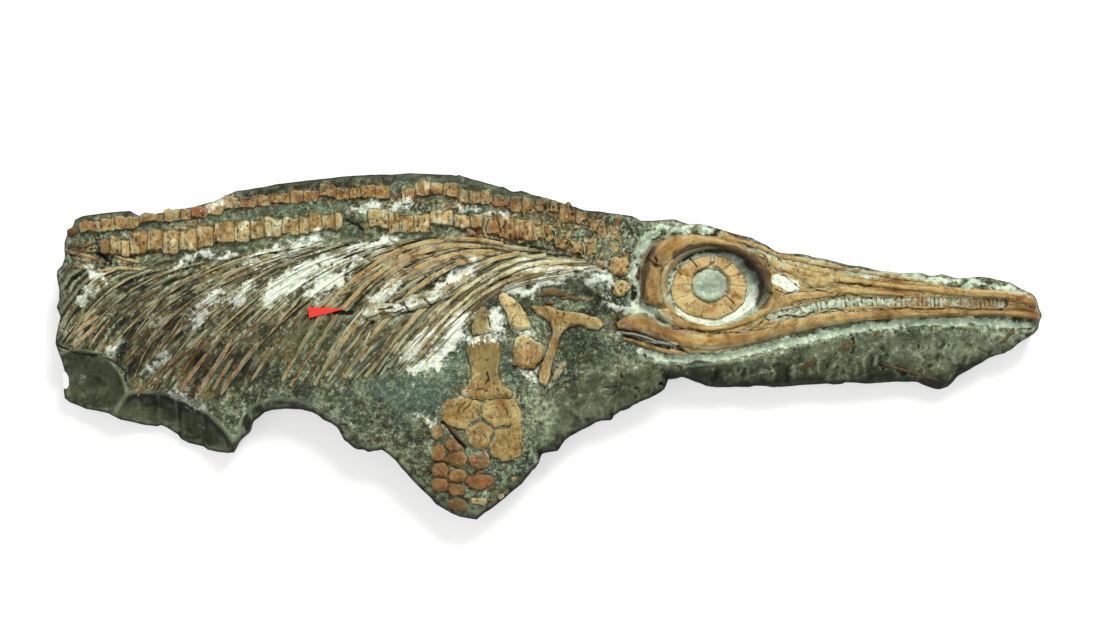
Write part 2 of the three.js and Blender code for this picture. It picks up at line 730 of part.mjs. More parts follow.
// ---- Teeth, fused to the jaw that they grow from ----

const TOOTH = { length: 9, width: 4, pitch: 9, root: 2.4, lift: 1.6 };

// Small pointed teeth in a row under a jaw bone's lower edge, between two places along the snout.
function withTeeth(jaw, edge, [fromX, toX]) {
  const span = edge.at(-1)[0] - edge[0][0];
  const roots = along(edge, Math.round(span / TOOTH.pitch)).filter(([x]) => x >= fromX && x <= toX);
  return roots.reduce((grown, [x, y]) => {
    const tooth = new THREE.ConeGeometry((TOOTH.width / 2) * SCALE, TOOTH.length * SCALE, 4);
    tooth.rotateZ(Math.PI);
    const middle = place(x, y + TOOTH.length / 2 - TOOTH.root, faceLevel(x, y) + TOOTH.lift);
    return grown.add(solidOf(tooth.translate(middle.x, middle.y, middle.z)));
  }, jaw);
}

// ---- Colours ----

const stoneFinish = new THREE.MeshStandardMaterial({ name: "stone", color: 0x59604f, roughness: 0.88 });
function boneFinish(color) {
  return new THREE.MeshStandardMaterial({ name: "fossil_bone", color, roughness: 0.62 });
}
const skullBone = boneFinish(0xb08048);
const backBone = boneFinish(0xa88850);
const ribBone = boneFinish(0x8f7748);
const paddleBone = boneFinish(0xa8733c);
const labelPaper = new THREE.MeshStandardMaterial({ name: "label_paper", color: 0xeeeeea, roughness: 0.9 });
const pointerPaper = new THREE.MeshStandardMaterial({
  name: "pointer_paper",
  color: 0xe23a2a,
  roughness: 0.8,
});

// ---- Assembly ----

const fossil = new THREE.Group();
fossil.name = "ichthyosaur_fossil";

function addNode(name, solid, material) {
  const { numProp, vertProperties, triVerts } = solid.getMesh();
  const stride = new THREE.InterleavedBuffer(vertProperties, numProp);
  const geometry = new THREE.BufferGeometry();
  geometry.setAttribute("position", new THREE.InterleavedBufferAttribute(stride, 3, 0));
  geometry.setIndex(new THREE.BufferAttribute(triVerts, 1));
  const flat = geometry.toNonIndexed();
  flat.computeVertexNormals();
  const mesh = new THREE.Mesh(flat, material);
  mesh.name = name;
  fossil.add(mesh);
}

function addPlates(plates, material) {
  for (const [name, { outline, ...form }] of Object.entries(plates))
    addNode(name, seat(plate(outline, form)), material);
}

const twoDigits = (number) => String(number).padStart(2, "0");

addNode("stone_slab", stone, stoneFinish);

for (const [name, { upper, lower, rise, toothed }] of Object.entries(SKULL_STRIPS)) {
  const bare = strip(upper, lower, { rise });
  addNode(name, seat(toothed ? withTeeth(bare, lower, toothed) : bare), skullBone);
}
addPlates(SKULL_PLATES, skullBone);
addNode("eye_plate_ring", eyeRing(), skullBone);
addPlates(NECK_PLATES, backBone);

const CENTRA = { shares: [0, 0.15, 0.85], rise: 6, groove: 3, narrow: 0.06, profile: KEYSTONE };
addNode(
  "backbone_rear",
  seat(
    blockRow(
      [
        [98, 249], [118, 241], [134, 234], [150, 230], [182, 227.5], [215, 221.5], [252, 218],
        [285, 214.5], [320, 212], [342, 213],
      ],
      [
        [102, 266], [120, 263], [136, 258], [152, 255.5], [184, 253], [216, 246], [253, 240], [286, 234],
        [320, 231], [342, 229],
      ],
      { blocks: 14, ...CENTRA },
    ),
  ),
  backBone,
);
addNode(
  "backbone_front",
  seat(
    blockRow(
      [
        [367, 214], [385, 212], [415, 213.5], [445, 212], [470, 215], [500, 216], [528, 225], [560, 234],
        [588, 246],
      ],
      [
        [369, 230], [386, 231.5], [415, 231], [445, 228.5], [468, 231], [496, 237], [524, 241],
        [556, 248], [582, 260],
      ],
      { blocks: 13, ...CENTRA },
    ),
  ),
  backBone,
);

const SPINES = { shares: [0, 0.28], rise: 4.8, groove: 3, narrow: 0.1, profile: KEYSTONE };
addNode(
  "neural_spines_rear",
  seat(
    blockRow(
      [
        [77, 223], [100, 219.5], [132, 219.5], [150, 218], [180, 212], [206, 208], [224, 200],
        [240, 195.5], [270, 192], [300, 188], [330, 184], [362, 184], [390, 186],
      ],
      [
        [80, 234], [100, 229.5], [132, 228], [151, 225.5], [182, 221.5], [208, 218.5], [226, 211],
        [242, 208.5], [271, 205], [300, 202.5], [330, 198.5], [361, 199], [388, 201],
      ],
      { blocks: 20, ...SPINES },
    ),
  ),
  backBone,
);
addNode(
  "neural_spines_front",
  seat(
    blockRow(
      [
        [402, 188], [420, 182.5], [440, 181.5], [458, 184.5], [490, 191.5], [520, 195.5], [545, 200],
        [568, 207], [590, 215], [610, 230],
      ],
      [
        [401, 203], [420, 199], [440, 201], [457, 204.5], [488, 207], [516, 212], [540, 216], [560, 221],
        [580, 229], [598, 243],
      ],
      { blocks: 14, ...SPINES },
    ),
  ),
  backBone,
);

RIBS.forEach((line, i) => addNode(`rib_${twoDigits(i + 1)}`, seat(rib(line)), ribBone));

addPlates({ ...SHOULDER_PLATES, ...PADDLE_PLATES }, paddleBone);
FINGER_BONES.forEach((bone, i) =>
  addNode(`finger_bone_${twoDigits(i + 1)}`, seat(fingerBone(bone)), paddleBone),
);

// The bundle of small broken bones in the belly lies over the ribs, with clearance cut for each of them.
const BELLY_BUNDLE = [
  [361, 312], [375, 305.5], [390, 303], [403, 299], [418, 294], [434, 291], [448, 290], [456, 294],
  [446, 300],
  [431, 304], [415, 310], [400, 315], [384, 319], [369, 321], [361, 318],
];
const ribClearances = RIBS.map((line) => rib(line, 0.4));
const bundle = ribClearances.reduce((rest, cut) => rest.subtract(cut), plate(BELLY_BUNDLE, { rise: 7 }));
addNode("belly_bone_bundle", seat(bundle), ribBone);

const POINTER = [[309, 308], [345, 309.5], [310, 318.5]];
const pointerTop = faceLevel(325, 312) + RIB_RISE + 1;
addNode("paper_pointer", slip(POINTER, pointerTop, [...ribClearances, stoneLifted]), pointerPaper);

// The label follows the floor of the broken tail corner.
const LABEL = [[60.5, 372], [64, 370.5], [66.5, 375], [67, 384], [65, 388], [61, 388]];
function tailCornerLevel(x, y) {
  const { x: cx, y: cy, z, radii } = TAIL_CORNER_BREAK;
  return z - radii[2] * Math.sqrt(1 - ((x - cx) / radii[0]) ** 2 - ((y - cy) / radii[1]) ** 2);
}
const labelForm = { rise: 1.5, round: 0.6, root: 1, level: tailCornerLevel };
addNode("paper_label", seat(plate(LABEL, labelForm)), labelPaper);

export default fossil;
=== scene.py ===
import math

import bmesh
import bpy
import numpy as np
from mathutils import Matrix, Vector
from mathutils.bvhtree import BVHTree


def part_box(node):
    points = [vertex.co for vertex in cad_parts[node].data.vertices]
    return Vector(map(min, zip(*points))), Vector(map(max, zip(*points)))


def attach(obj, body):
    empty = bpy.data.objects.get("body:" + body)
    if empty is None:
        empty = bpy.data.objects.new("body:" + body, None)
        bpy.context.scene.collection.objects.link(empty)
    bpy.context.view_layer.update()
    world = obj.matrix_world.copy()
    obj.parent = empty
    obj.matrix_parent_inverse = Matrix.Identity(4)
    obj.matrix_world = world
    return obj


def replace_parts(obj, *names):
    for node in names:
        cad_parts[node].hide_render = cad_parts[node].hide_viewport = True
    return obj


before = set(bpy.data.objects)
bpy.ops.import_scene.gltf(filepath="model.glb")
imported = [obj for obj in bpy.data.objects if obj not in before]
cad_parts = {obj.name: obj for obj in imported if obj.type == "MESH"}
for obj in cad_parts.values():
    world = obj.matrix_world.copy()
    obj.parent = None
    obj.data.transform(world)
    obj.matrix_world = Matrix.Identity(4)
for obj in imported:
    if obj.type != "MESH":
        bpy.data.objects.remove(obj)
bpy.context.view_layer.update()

# ---- Camera, floor and light ----
# The slab lies face up on a pale, faintly glowing light table, seen from almost straight above through
# a long lens. A large soft lamp past its back edge throws short shadows; the room fills the rest.

# The plan: millimetres across from the left and down from the top of the drawing of the slab.
PLAN_CENTRE = (549.25, 345.5)
MM = 0.001
FACE_LEVEL = 54.0


def from_plan(x, y, z):
    """A plan point, with its height in millimetres, in the frame's metres."""
    return Vector(((x - PLAN_CENTRE[0]) * MM, (PLAN_CENTRE[1] - y) * MM, z * MM))


VIEW_WIDTH = 1.1
VIEW_ELEVATION = math.radians(86.5)
LENS = 120
SENSOR = 36

aim = from_plan(550, 309.5, FACE_LEVEL)
camera = bpy.data.objects.new("camera", bpy.data.cameras.new("camera"))
camera.data.lens = LENS
camera.data.sensor_width = SENSOR
view_distance = VIEW_WIDTH * LENS / SENSOR
camera.location = aim + view_distance * Vector((0, -math.cos(VIEW_ELEVATION), math.sin(VIEW_ELEVATION)))
camera.rotation_euler = (math.pi / 2 - VIEW_ELEVATION, 0, 0)
camera.data.clip_end = 50
bpy.context.scene.collection.objects.link(camera)
bpy.context.scene.camera = camera
bpy.context.scene.view_settings.view_transform = "Standard"


def soft_lamp(name, place, size, watts, tint):
    """A square soft lamp, turned to the middle of the slab."""
    light = bpy.data.lights.new(name, "AREA")
    light.shape = "SQUARE"
    light.size = size
    light.energy = watts
    light.color = tint
    lamp = bpy.data.objects.new(name, light)
    lamp.location = place
    lamp.rotation_euler = (Vector((0, 0, 0.05)) - Vector(place)).to_track_quat("-Z", "Y").to_euler()
    bpy.context.scene.collection.objects.link(lamp)


soft_lamp("key_lamp", (0.7, 2.0, 2.6), size=1.3, watts=112, tint=(1.0, 0.99, 0.96))
soft_lamp("fill_lamp", (-1.6, -1.4, 3.0), size=2.4, watts=24, tint=(1.0, 1.0, 1.0))

world = bpy.data.worlds.new("room")
world.use_nodes = True
world.node_tree.nodes["Background"].inputs["Color"].default_value = (1.0, 1.0, 0.99, 1)
world.node_tree.nodes["Background"].inputs["Strength"].default_value = 0.52
bpy.context.scene.world = world


def srgb(red, green, blue):
    """A colour named by its screen values, 0 to 255, as a shader needs it."""
    def linear(value):
        share = value / 255
        return share / 12.92 if share <= 0.04045 else ((share + 0.055) / 1.055) ** 2.4
    return (linear(red), linear(green), linear(blue), 1.0)


class Wire:
    """One output of a material's nodes. Arithmetic on it adds Math nodes to the same material."""

    def __init__(self, paint, socket):
        self.paint = paint
        self.socket = socket

    def _maths(self, operation, first, second):
        return self.paint.node("ShaderNodeMath", {"operation": operation}, {0: first, 1: second})

    def __add__(self, other):
        return self._maths("ADD", self, other)

    def __radd__(self, other):
        return self._maths("ADD", other, self)

    def __sub__(self, other):
        return self._maths("SUBTRACT", self, other)

    def __rsub__(self, other):
        return self._maths("SUBTRACT", other, self)

    def __mul__(self, other):
        return self._maths("MULTIPLY", self, other)

    def __rmul__(self, other):
        return self._maths("MULTIPLY", other, self)


class Paint:
    """A material under construction, around one Principled shader."""

    def __init__(self, name):
        self.material = bpy.data.materials.new(name)
        self.material.use_nodes = True
        self.tree = self.material.node_tree
        self.shader = self.tree.nodes["Principled BSDF"]
        self.made = {}

    def node(self, kind, settings=None, inputs=None, output=None):
        """Adds a node: its settings first, then its inputs."""
        node = self.tree.nodes.new(kind)
        for key, value in (settings or {}).items():
            setattr(node, key, value)
        for key, value in (inputs or {}).items():
            if isinstance(key, int):
                socket = node.inputs[key]
            else:
                socket = next(s for s in node.inputs if s.enabled and s.name == key)
            self.feed(socket, value)
        open_outputs = [s for s in node.outputs if s.enabled]
        chosen = next((s for s in open_outputs if s.name == output), open_outputs[0])
        return Wire(self, chosen)

    def feed(self, socket, value):
        if isinstance(value, Wire):
            self.tree.links.new(value.socket, socket)
        else:
            socket.default_value = value

    def place(self):
        if "place" not in self.made:
            self.made["place"] = self.node("ShaderNodeTexCoord", output="Object")
        return self.made["place"]

    def field(self, name):
        """A value that the piece's own mesh carries at its points."""
        if name not in self.made:
            self.made[name] = self.node("ShaderNodeAttribute", {"attribute_name": name}, output="Fac")
        return self.made[name]

    def flow(self, along, shift=0.0):
        """Coordinates across and along the grain, in metres; a low share along draws a pattern out."""
        if "flow" not in self.made:
            self.made["flow"] = self.node("ShaderNodeAttribute", {"attribute_name": "flow"}, output="Vector")
        stretch = {"Location": (shift, shift, 0), "Scale": (1, along, 1)}
        return self.node("ShaderNodeMapping", inputs={"Vector": self.made["flow"], **stretch})

    def noise(self, place, scale, detail=3.0, rough=0.55, twist=0.0):
        inputs = {"Vector": place, "Scale": scale, "Detail": detail, "Roughness": rough, "Distortion": twist}
        return self.node("ShaderNodeTexNoise", {"noise_dimensions": "3D"}, inputs, "Fac")

    def step(self, value, low, high):
        """0 below low, 1 above high and a smooth rise between; low above high turns it round."""
        inputs = {"Value": value, "From Min": low, "From Max": high, "To Min": 0.0, "To Max": 1.0}
        if low > high:
            inputs.update({"From Min": high, "From Max": low, "To Min": 1.0, "To Max": 0.0})
        return self.node("ShaderNodeMapRange", {"interpolation_type": "SMOOTHSTEP"}, inputs)

    def mix(self, share, under, over):
        settings = {"data_type": "RGBA", "blend_type": "MIX"}
        return self.node("ShaderNodeMix", settings, {"Factor": share, "A": under, "B": over})

    def washes(self, colour, layers):
        """Tints laid over a colour, each where a value passes between two levels, at a strength."""
        for value, low, high, strength, tint in layers:
            colour = self.mix(self.step(value, low, high) * strength, colour, tint)
        return colour

    def bump(self, height, distance, strength):
        inputs = {"Height": height, "Distance": distance, "Strength": strength}
        self.feed(self.shader.inputs["Normal"], self.node("ShaderNodeBump", inputs=inputs))

    def finish(self, colour, roughness, gloss):
        self.feed(self.shader.inputs["Base Color"], colour)
        self.feed(self.shader.inputs["Roughness"], roughness)
        self.shader.inputs["Specular IOR Level"].default_value = gloss
        return self.material


def new_piece(name, mesh, material):
    """A finished piece: it rides on the part's one body and takes the material that it is given."""
    piece = bpy.data.objects.new(name, mesh)
    bpy.context.scene.collection.objects.link(piece)
    mesh.materials.clear()
    mesh.materials.append(material)
    mesh.shade_smooth()
    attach(piece, "root")
    return piece


def mesh_of(bm, name):
    """The finished mesh of a bmesh."""
    mesh = bpy.data.meshes.new(name)
    bm.to_mesh(mesh)
    bm.free()
    return mesh


TABLE_HALF = 6
TABLE_DROP = 0.0005  # the table top stays clear of the slab's foot

floor_bm = bmesh.new()
bmesh.ops.create_grid(floor_bm, x_segments=1, y_segments=1, size=TABLE_HALF)
bmesh.ops.translate(floor_bm, verts=floor_bm.verts, vec=(0, 0, -TABLE_DROP))
floor_mesh = mesh_of(floor_bm, "table_top")
table_paint = Paint("table_white")
table_noise = table_paint.noise(table_paint.place(), 3)
table_colour = table_paint.washes(srgb(205, 206, 205), [(table_noise, 0.3, 0.7, 1, srgb(212, 212, 211))])
table_paint.shader.inputs["Emission Color"].default_value = (1, 1, 1, 1)
table_paint.shader.inputs["Emission Strength"].default_value = 0.5
floor_mesh.materials.append(table_paint.finish(table_colour, 0.9, 0.1))
floor = bpy.data.objects.new("table_top", floor_mesh)
bpy.context.scene.collection.objects.link(floor)

# ---- The slab of stone ----
# A slab of dark grey-green mudstone, split along the bed that the animal lies on and broken all round.
# The preparator left chisel channels under the jaw and behind the skull and dug out the eye socket.

BACK_EDGE = [
    (73, 218.5), (81, 214.5), (100, 212), (128, 209.5), (135, 213.5), (139, 215.3), (150, 213.5), (163, 211),
    (178, 208.5), (193, 206), (205, 202.5), (212, 201), (222, 195.5), (235, 189.7), (250, 188), (262, 186),
    (275, 182.7), (300, 179.7), (325, 177), (350, 174.3), (370, 173.2), (390, 172.8), (410, 171.7),
    (430, 172), (445, 173), (460, 174.3), (475, 178.5), (490, 182.5), (502, 186), (512, 190.3), (525, 191),
    (535, 194.5), (548, 197.5), (565, 203), (575, 205.5), (585, 209.5), (600, 210.5), (612, 212.5),
    (625, 214), (632, 215), (637, 217.5), (641, 220), (652, 220), (668, 218.5), (675, 218.5), (682, 221),
    (688, 223), (700, 223), (710, 225), (720, 228.3), (732, 232.3), (742, 235), (752, 237.3), (758, 240.7),
    (768, 245), (775, 250), (781, 252.5), (790, 253.3), (797, 253), (808, 254.5), (815, 257), (825, 258.3),
    (835, 260.8), (850, 264.8), (862, 265.8), (878, 269.6), (890, 271), (900, 272.4), (921, 272),
    (930, 275), (936, 275), (943, 273.4), (950, 275.4), (956, 277.5), (970, 277), (982, 276), (992, 277.4),
    (1003, 279.4), (1013, 281.2), (1020, 286), (1028, 290),
]
BELLY_EDGE = [
    (61, 397), (66, 401.2), (75, 404.5), (82.5, 407.8), (95, 410), (106, 412.5), (118, 418.8), (130, 421.2),
    (140, 423.7), (153, 424.9), (157, 423.7), (163, 426.2), (170, 430.8), (174, 433.2), (177, 437.6),
    (185, 441.8), (200, 445.3), (204.5, 448.6), (215, 451), (227.4, 452.5), (233, 450), (236.3, 443),
    (239, 439.8), (246.5, 433.5), (248.5, 427), (250.3, 421.2), (257, 416.3), (263.5, 411.4), (271, 409.3),
    (285, 408), (300, 408.8), (311, 411.5), (317.5, 414.8), (322.5, 419.2), (331.5, 423.2), (337.3, 427.5),
    (340.5, 433), (344, 439), (350, 443.8), (357, 448.2), (363, 449), (367, 451), (377, 450.5),
    (382, 449.5), (388, 453.6), (396, 460.6), (400, 466), (405.5, 472), (412.5, 480), (421, 488.7),
    (430.5, 497.3), (435.5, 503.6), (443, 508), (452, 513.2), (460, 516.4), (470, 518.2), (476.7, 519.3),
    (480.5, 516), (484.5, 512.5), (490, 509.3), (497, 504), (505, 497.5), (515, 488.5), (522.3, 482.7),
    (527, 476), (531, 471.3), (535.7, 466.5), (540, 461), (541, 453), (545, 452.5), (558, 450.5),
    (561, 445.7), (565, 439.8), (570, 436), (580, 430.4), (590, 425.4), (596, 421.7), (602, 420),
    (612, 419.5), (614, 415.3), (622.5, 409.4), (630.5, 405.8), (640, 401.2), (648.5, 397.8), (656, 394),
    (664, 389.5), (667.5, 382.5), (669, 377), (677, 376.6), (682.5, 375.4), (688, 377.5), (697, 380.6),
    (705, 383.3), (712, 385.8), (718, 386.5), (736, 384.4), (755, 385), (782, 386), (805, 383.8),
    (830, 382.5), (841, 383.3), (848, 381), (870, 382.5), (880, 381.8), (900, 380.3), (920, 380.6),
    (930, 384.8), (938, 387.5), (943, 388), (951, 385.5), (956, 380.5), (960, 375.2), (968, 370.6),
    (975, 366.4), (983, 362.3), (990, 357.8), (997, 354.7), (1005, 352.5), (1013, 349), (1020, 342.5),
    (1028, 338),
]
TAIL_EDGE = [
    (73, 218.5), (70.6, 225), (65.6, 233), (62.9, 241), (62.5, 250), (63.5, 257), (60.8, 264.5),
    (56.3, 269.5), (56, 275), (57.3, 283), (58.6, 291), (58.3, 299.5), (56, 307), (58, 312), (60, 316.7),
    (57.5, 325), (56, 335), (55, 343.5), (57.8, 352), (60, 361), (61.5, 370), (60, 390), (61, 397),
]
SNOUT_EDGE = [
    (1028, 290), (1034, 293), (1037, 296), (1039, 300), (1041, 308), (1043.7, 315), (1041.3, 322),
    (1040, 328), (1036.5, 332.5), (1028, 338),
]

# Low swells and hollows of the bedding plane: centre, reach across and down, height; in plan
# millimetres, as every table of places here.
SWELLS = [
    (290, 305, 190, 80, 8), (730, 292, 120, 55, 9), (485, 350, 55, 45, -3), (465, 500, 75, 50, -7),
    (90, 230, 80, 35, -5), (430, 176, 170, 26, -4), (1030, 310, 60, 50, -9),
]
# Shell-shaped breaks of the belly side: centre, height of the centre, radii, turn.
SHELL_BREAKS = [
    (77, 402, 70, (54, 55, 44), 0), (172, 441, 62, (72, 42, 50), -26), (292, 440, 68, (56, 40, 48), -18),
]
# Broken flanks: a line on the face, the line where they reach the foot, shelf and foot heights.
JAW_FLANK = [
    ((664, 372), (660, 384), 52, 34), ((690, 366), (692, 392), 44, 22), ((728, 363), (728, 394), 38, 8),
    ((766, 358), (768, 394), 41, 12), ((806, 346), (806, 392), 36, 6), ((856, 335), (858, 392), 40, 12),
    ((905, 333), (908, 390), 34, 6), ((948, 331), (952, 396), 36, 14), ((985, 332), (996, 368), 38, 14),
    ((1012, 336), (1028, 352), 44, 20), ((1034, 338), (1052, 340), 46, 30),
]
SHOULDER_FLANK = [
    ((541, 470), (556, 476), 50, 30), ((546, 440), (574, 452), 46, 22), ((552, 404), (590, 436), 43, 18),
    ((572, 384), (624, 424), 42, 18), ((614, 372), (652, 406), 43, 22), ((662, 369), (678, 390), 50, 30),
]
SHELF_SHARE = 0.74  # of the way from the face to the foot
# Chisel channels: line, width, depth.
CHANNELS = [
    ([(646, 354), (690, 360.5), (745, 354), (800, 340), (855, 328), (910, 323), (970, 321), (1030, 325)],
     11, 4),
    ([(664, 232), (646, 242), (637, 258), (635, 280), (634, 298), (646, 310), (662, 322)], 9, 4),
]
ORBIT = (715, 286.5)
ORBIT_RIM = (50, 38.5)
ORBIT_DEPTH = 13
PLUG_RISE = 5.5  # how far the pale plug of the pupil stands over the socket's floor
OPENING = (717.5, 287.8)  # where the pale filling of the socket shows between the bones
OPENING_RIM = (49.5, 37.8)
PUPIL = (709.5, 285)
PUPIL_REACH = (23, 21)


FAR = 1e6  # farther than anything on the plan


def stretches(x, y, line):
    """For each stretch of a broken line: its start, its run and how far plan points are from it."""
    for (ax, ay), (bx, by) in zip(line, line[1:]):
        dx, dy = bx - ax, by - ay
        share = np.clip(((x - ax) * dx + (y - ay) * dy) / (dx * dx + dy * dy), 0, 1)
        yield (ax, ay), (dx, dy), np.hypot(x - ax - share * dx, y - ay - share * dy)


def distance_to(x, y, line):
    """Distance from plan points to a broken line."""
    nearest = np.full(x.shape, FAR)
    for _, _, away in stretches(x, y, line):
        nearest = np.minimum(nearest, away)
    return nearest


def depth_inside(x, y, ring):
    """Distance from plan points to a closed outline, negative outside it."""
    odd = np.zeros(x.shape, bool)
    for (ax, ay), (bx, by) in zip(ring, ring[1:] + ring[:1]):
        if ay != by:
            odd ^= ((ay > y) != (by > y)) & (x < (bx - ax) * (y - ay) / (by - ay) + ax)
    return np.where(odd, 1, -1) * distance_to(x, y, ring + ring[:1])


def oval_share(x, y, middle, reach):
    """How far plan points lie from the middle of an oval, 1 on its rim."""
    return np.hypot((x - middle[0]) / reach[0], (y - middle[1]) / reach[1])


def lumps(x, y, z, size, seed, octaves=3):
    """A smooth random field from about -1 to 1, with features of a size in millimetres."""
    rng = np.random.default_rng(seed)
    period = 48
    total, amount, weight = np.zeros(x.shape), 1.0, 0.0
    for octave in range(octaves):
        lattice = rng.uniform(-1, 1, (period, period, period))
        grid = [c / size * 2 ** octave + 7.3 * octave for c in (x, y, z)]
        low = [np.floor(g).astype(int) for g in grid]
        ease = [(g - b) ** 2 * (3 - 2 * (g - b)) for g, b in zip(grid, low)]
        value = np.zeros(x.shape)
        for corner in range(8):
            bits = [(corner >> k) & 1 for k in range(3)]
            share = np.prod([e if b else 1 - e for e, b in zip(ease, bits)], axis=0)
            value += share * lattice[tuple((b + o) % period for b, o in zip(low, bits))]
        total += amount * value
        weight += amount
        amount *= 0.55
    return total / weight * 1.6


def flat_lumps(x, y, size, seed, octaves=3):
    """The same field, as it is on the plan."""
    return lumps(x, y, np.zeros(x.shape), size, seed, octaves)


def ramp(value, low, high):
    """0 at low, 1 at high, eased in between."""
    share = np.clip((value - low) / (high - low), 0, 1)
    return share * share * (3 - 2 * share)


def flank_height(x, y, level, stations):
    """The face's height, lowered where a flank is broken away."""
    head = [s[0] for s in stations]
    foot = [s[1] for s in stations]
    from_head, from_foot = distance_to(x, y, head), distance_to(x, y, foot)
    beyond = depth_inside(x, y, head + foot[::-1]) > -0.5  # with half a millimetre to spare
    share = from_head / (from_head + from_foot + 1e-6)
    shelf = np.interp(x, [p[0] for p in head], [s[2] for s in stations])
    low = np.interp(x, [p[0] for p in head], [s[3] for s in stations])
    slope = level + (shelf - level) * np.clip(share / SHELF_SHARE, 0, 1)
    fall = (low - shelf) * np.clip((share - SHELF_SHARE) / (1 - SHELF_SHARE), 0, 1)
    return np.where(beyond, slope + fall, level)


def face_level(x, y):
    """The bedding plane that the bones lie on."""
    level = np.full(np.shape(x), FACE_LEVEL)
    for cx, cy, across, down, rise in SWELLS:
        level = level + rise * np.exp(-((x - cx) / across) ** 2 - ((y - cy) / down) ** 2)
    return level


def shell_reach(x, y, shell):
    """How far plan points lie from the middle of a shell-shaped break, 1 at its rim at mid height."""
    cx, cy, _, radii, turn = shell
    angle = math.radians(turn)
    dx, dy = x - cx, cy - y
    u = (dx * math.cos(angle) + dy * math.sin(angle)) / radii[0]
    v = (-dx * math.sin(angle) + dy * math.cos(angle)) / radii[1]
    return np.hypot(u, v)


def broken_level(x, y):
    """The bedding plane with the breaks, flanks, channels and eye socket cut in it."""
    level = face_level(x, y)
    for shell in SHELL_BREAKS:
        _, _, middle_height, radii, _ = shell
        inside = np.clip(1 - shell_reach(x, y, shell) ** 2, 0, None)
        level = np.where(inside > 0, np.minimum(level, middle_height - radii[2] * np.sqrt(inside)), level)
    for stations in (JAW_FLANK, SHOULDER_FLANK):
        level = flank_height(x, y, level, stations)
    for line, width, deep in CHANNELS:
        away = distance_to(x, y, line) / (width / 2)
        level = level - deep * (1 - ramp(away, 0.1, 1.15))
    out = oval_share(x, y, ORBIT, ORBIT_RIM)
    bottom = float(face_level(np.array(ORBIT[0]), np.array(ORBIT[1]))) - ORBIT_DEPTH
    level = bottom + (level - bottom) * ramp(out, 0.9, 1.02)
    return level + PLUG_RISE * (1 - ramp(oval_share(x, y, PUPIL, PUPIL_REACH), 0.6, 1.0))


# Where bones lie, and how high, read from the solids of the bones on a fine grid over the plan.
RASTER_LEFT, RASTER_TOP = 45, 160
RASTER_COLUMNS, RASTER_ROWS = 1010, 365
RAY_HEIGHT = 150


def read_bones():
    """Two grids of the plan, a millimetre a cell: bone cover, 0 or 1, and the top of the bone."""
    points, faces = [], []
    for name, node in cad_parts.items():
        if name in ("stone_slab", "paper_pointer", "paper_label"):
            continue
        start = len(points)
        points.extend(v.co.copy() for v in node.data.vertices)
        faces.extend([start + i for i in polygon.vertices] for polygon in node.data.polygons)
    tree = BVHTree.FromPolygons(points, faces)
    top = np.full((RASTER_ROWS, RASTER_COLUMNS), np.nan)
    down = Vector((0, 0, -1))
    for row in range(RASTER_ROWS):
        for column in range(RASTER_COLUMNS):
            start = from_plan(RASTER_LEFT + column, RASTER_TOP + row, RAY_HEIGHT)
            hit = tree.ray_cast(start, down, RAY_HEIGHT * MM)[0]
            if hit is not None:
                top[row, column] = hit.z / MM
    return (~np.isnan(top)).astype(float), np.nan_to_num(top)


def blurred(grid, passes):
    """The grid with each cell averaged with its neighbours, a number of times."""
    for _ in range(passes):
        for axis in (0, 1):
            grid = (np.roll(grid, 1, axis) + grid + np.roll(grid, -1, axis)) / 3
    return grid


def sample(grid, x, y):
    """The grid's value at plan points, between its cells."""
    column = np.clip(x - RASTER_LEFT, 0, RASTER_COLUMNS - 1.001)
    row = np.clip(y - RASTER_TOP, 0, RASTER_ROWS - 1.001)
    c, r = column.astype(int), row.astype(int)
    u, v = column - c, row - r
    upper = grid[r, c] * (1 - u) + grid[r, c + 1] * u
    lower = grid[r + 1, c] * (1 - u) + grid[r + 1, c + 1] * u
    return upper * (1 - v) + lower * v


bone_cover, bone_top = read_bones()
near_bone = blurred(bone_cover, 3)

# The ribs fan out from the backbone. These lines follow them, from the tail end to the shoulder, and
# carry the grain of everything that lies between the ribs.
FAN_LINES = [
    [(132, 256), (100, 262), (75, 282), (50, 318), (30, 350)],
    [(180, 262), (152, 270), (128, 279), (107, 293), (88, 313), (67, 342), (45, 378)],
    [(330, 240), (290, 248), (255, 255), (222, 266), (190, 281), (160, 300), (134, 323), (110, 350),
     (84, 384)],
    [(400, 232), (345, 244), (318, 252), (290, 262), (264, 274), (240, 289), (216, 310), (194, 333),
     (150, 392), (128, 422)],
    [(430, 236), (372, 250), (350, 258.5), (327, 269), (305, 282), (284, 298), (262, 318), (240, 341),
     (199, 396), (176, 428)],
    [(560, 250), (503, 244), (478, 239.5), (450, 239), (408, 247), (385, 258), (362, 273), (323, 313),
     (283, 381), (260, 422)],
    [(560, 262), (494, 252), (470, 252), (448, 256), (426, 264.5), (404, 276), (384, 291), (352, 330),
     (315, 385), (292, 424)],
    [(590, 259), (519, 253), (500, 257), (484, 264), (468, 273), (450, 285), (432, 301), (397, 339),
     (366, 377), (338, 415)],
    [(620, 272), (583, 269), (560, 267.5), (537, 271), (514, 278), (492, 288.5), (454, 318), (421, 356),
     (411, 368), (380, 408)],
    [(640, 290), (600, 286), (560, 286), (520, 293), (492, 310), (462, 345), (440, 380), (420, 416)],
]
FAN_PITCH = 15  # the usual gap between two of the lines
FAN_SLANT = 0.7


def along_fan(x, y):
    """Millimetres down the fan, from the heads of the ribs to their tips."""
    return (y - x) * FAN_SLANT


def side_of(x, y, line):
    """Distance from a line, positive on the shoulder side of it."""
    nearest, sign = np.full(x.shape, FAR), np.ones(x.shape)
    for (ax, ay), (dx, dy), away in stretches(x, y, line):
        turn = np.where((y - ay) * dx - (x - ax) * dy < 0, 1, -1)
        sign = np.where(away < nearest, turn, sign)
        nearest = np.minimum(nearest, away)
    return sign * nearest


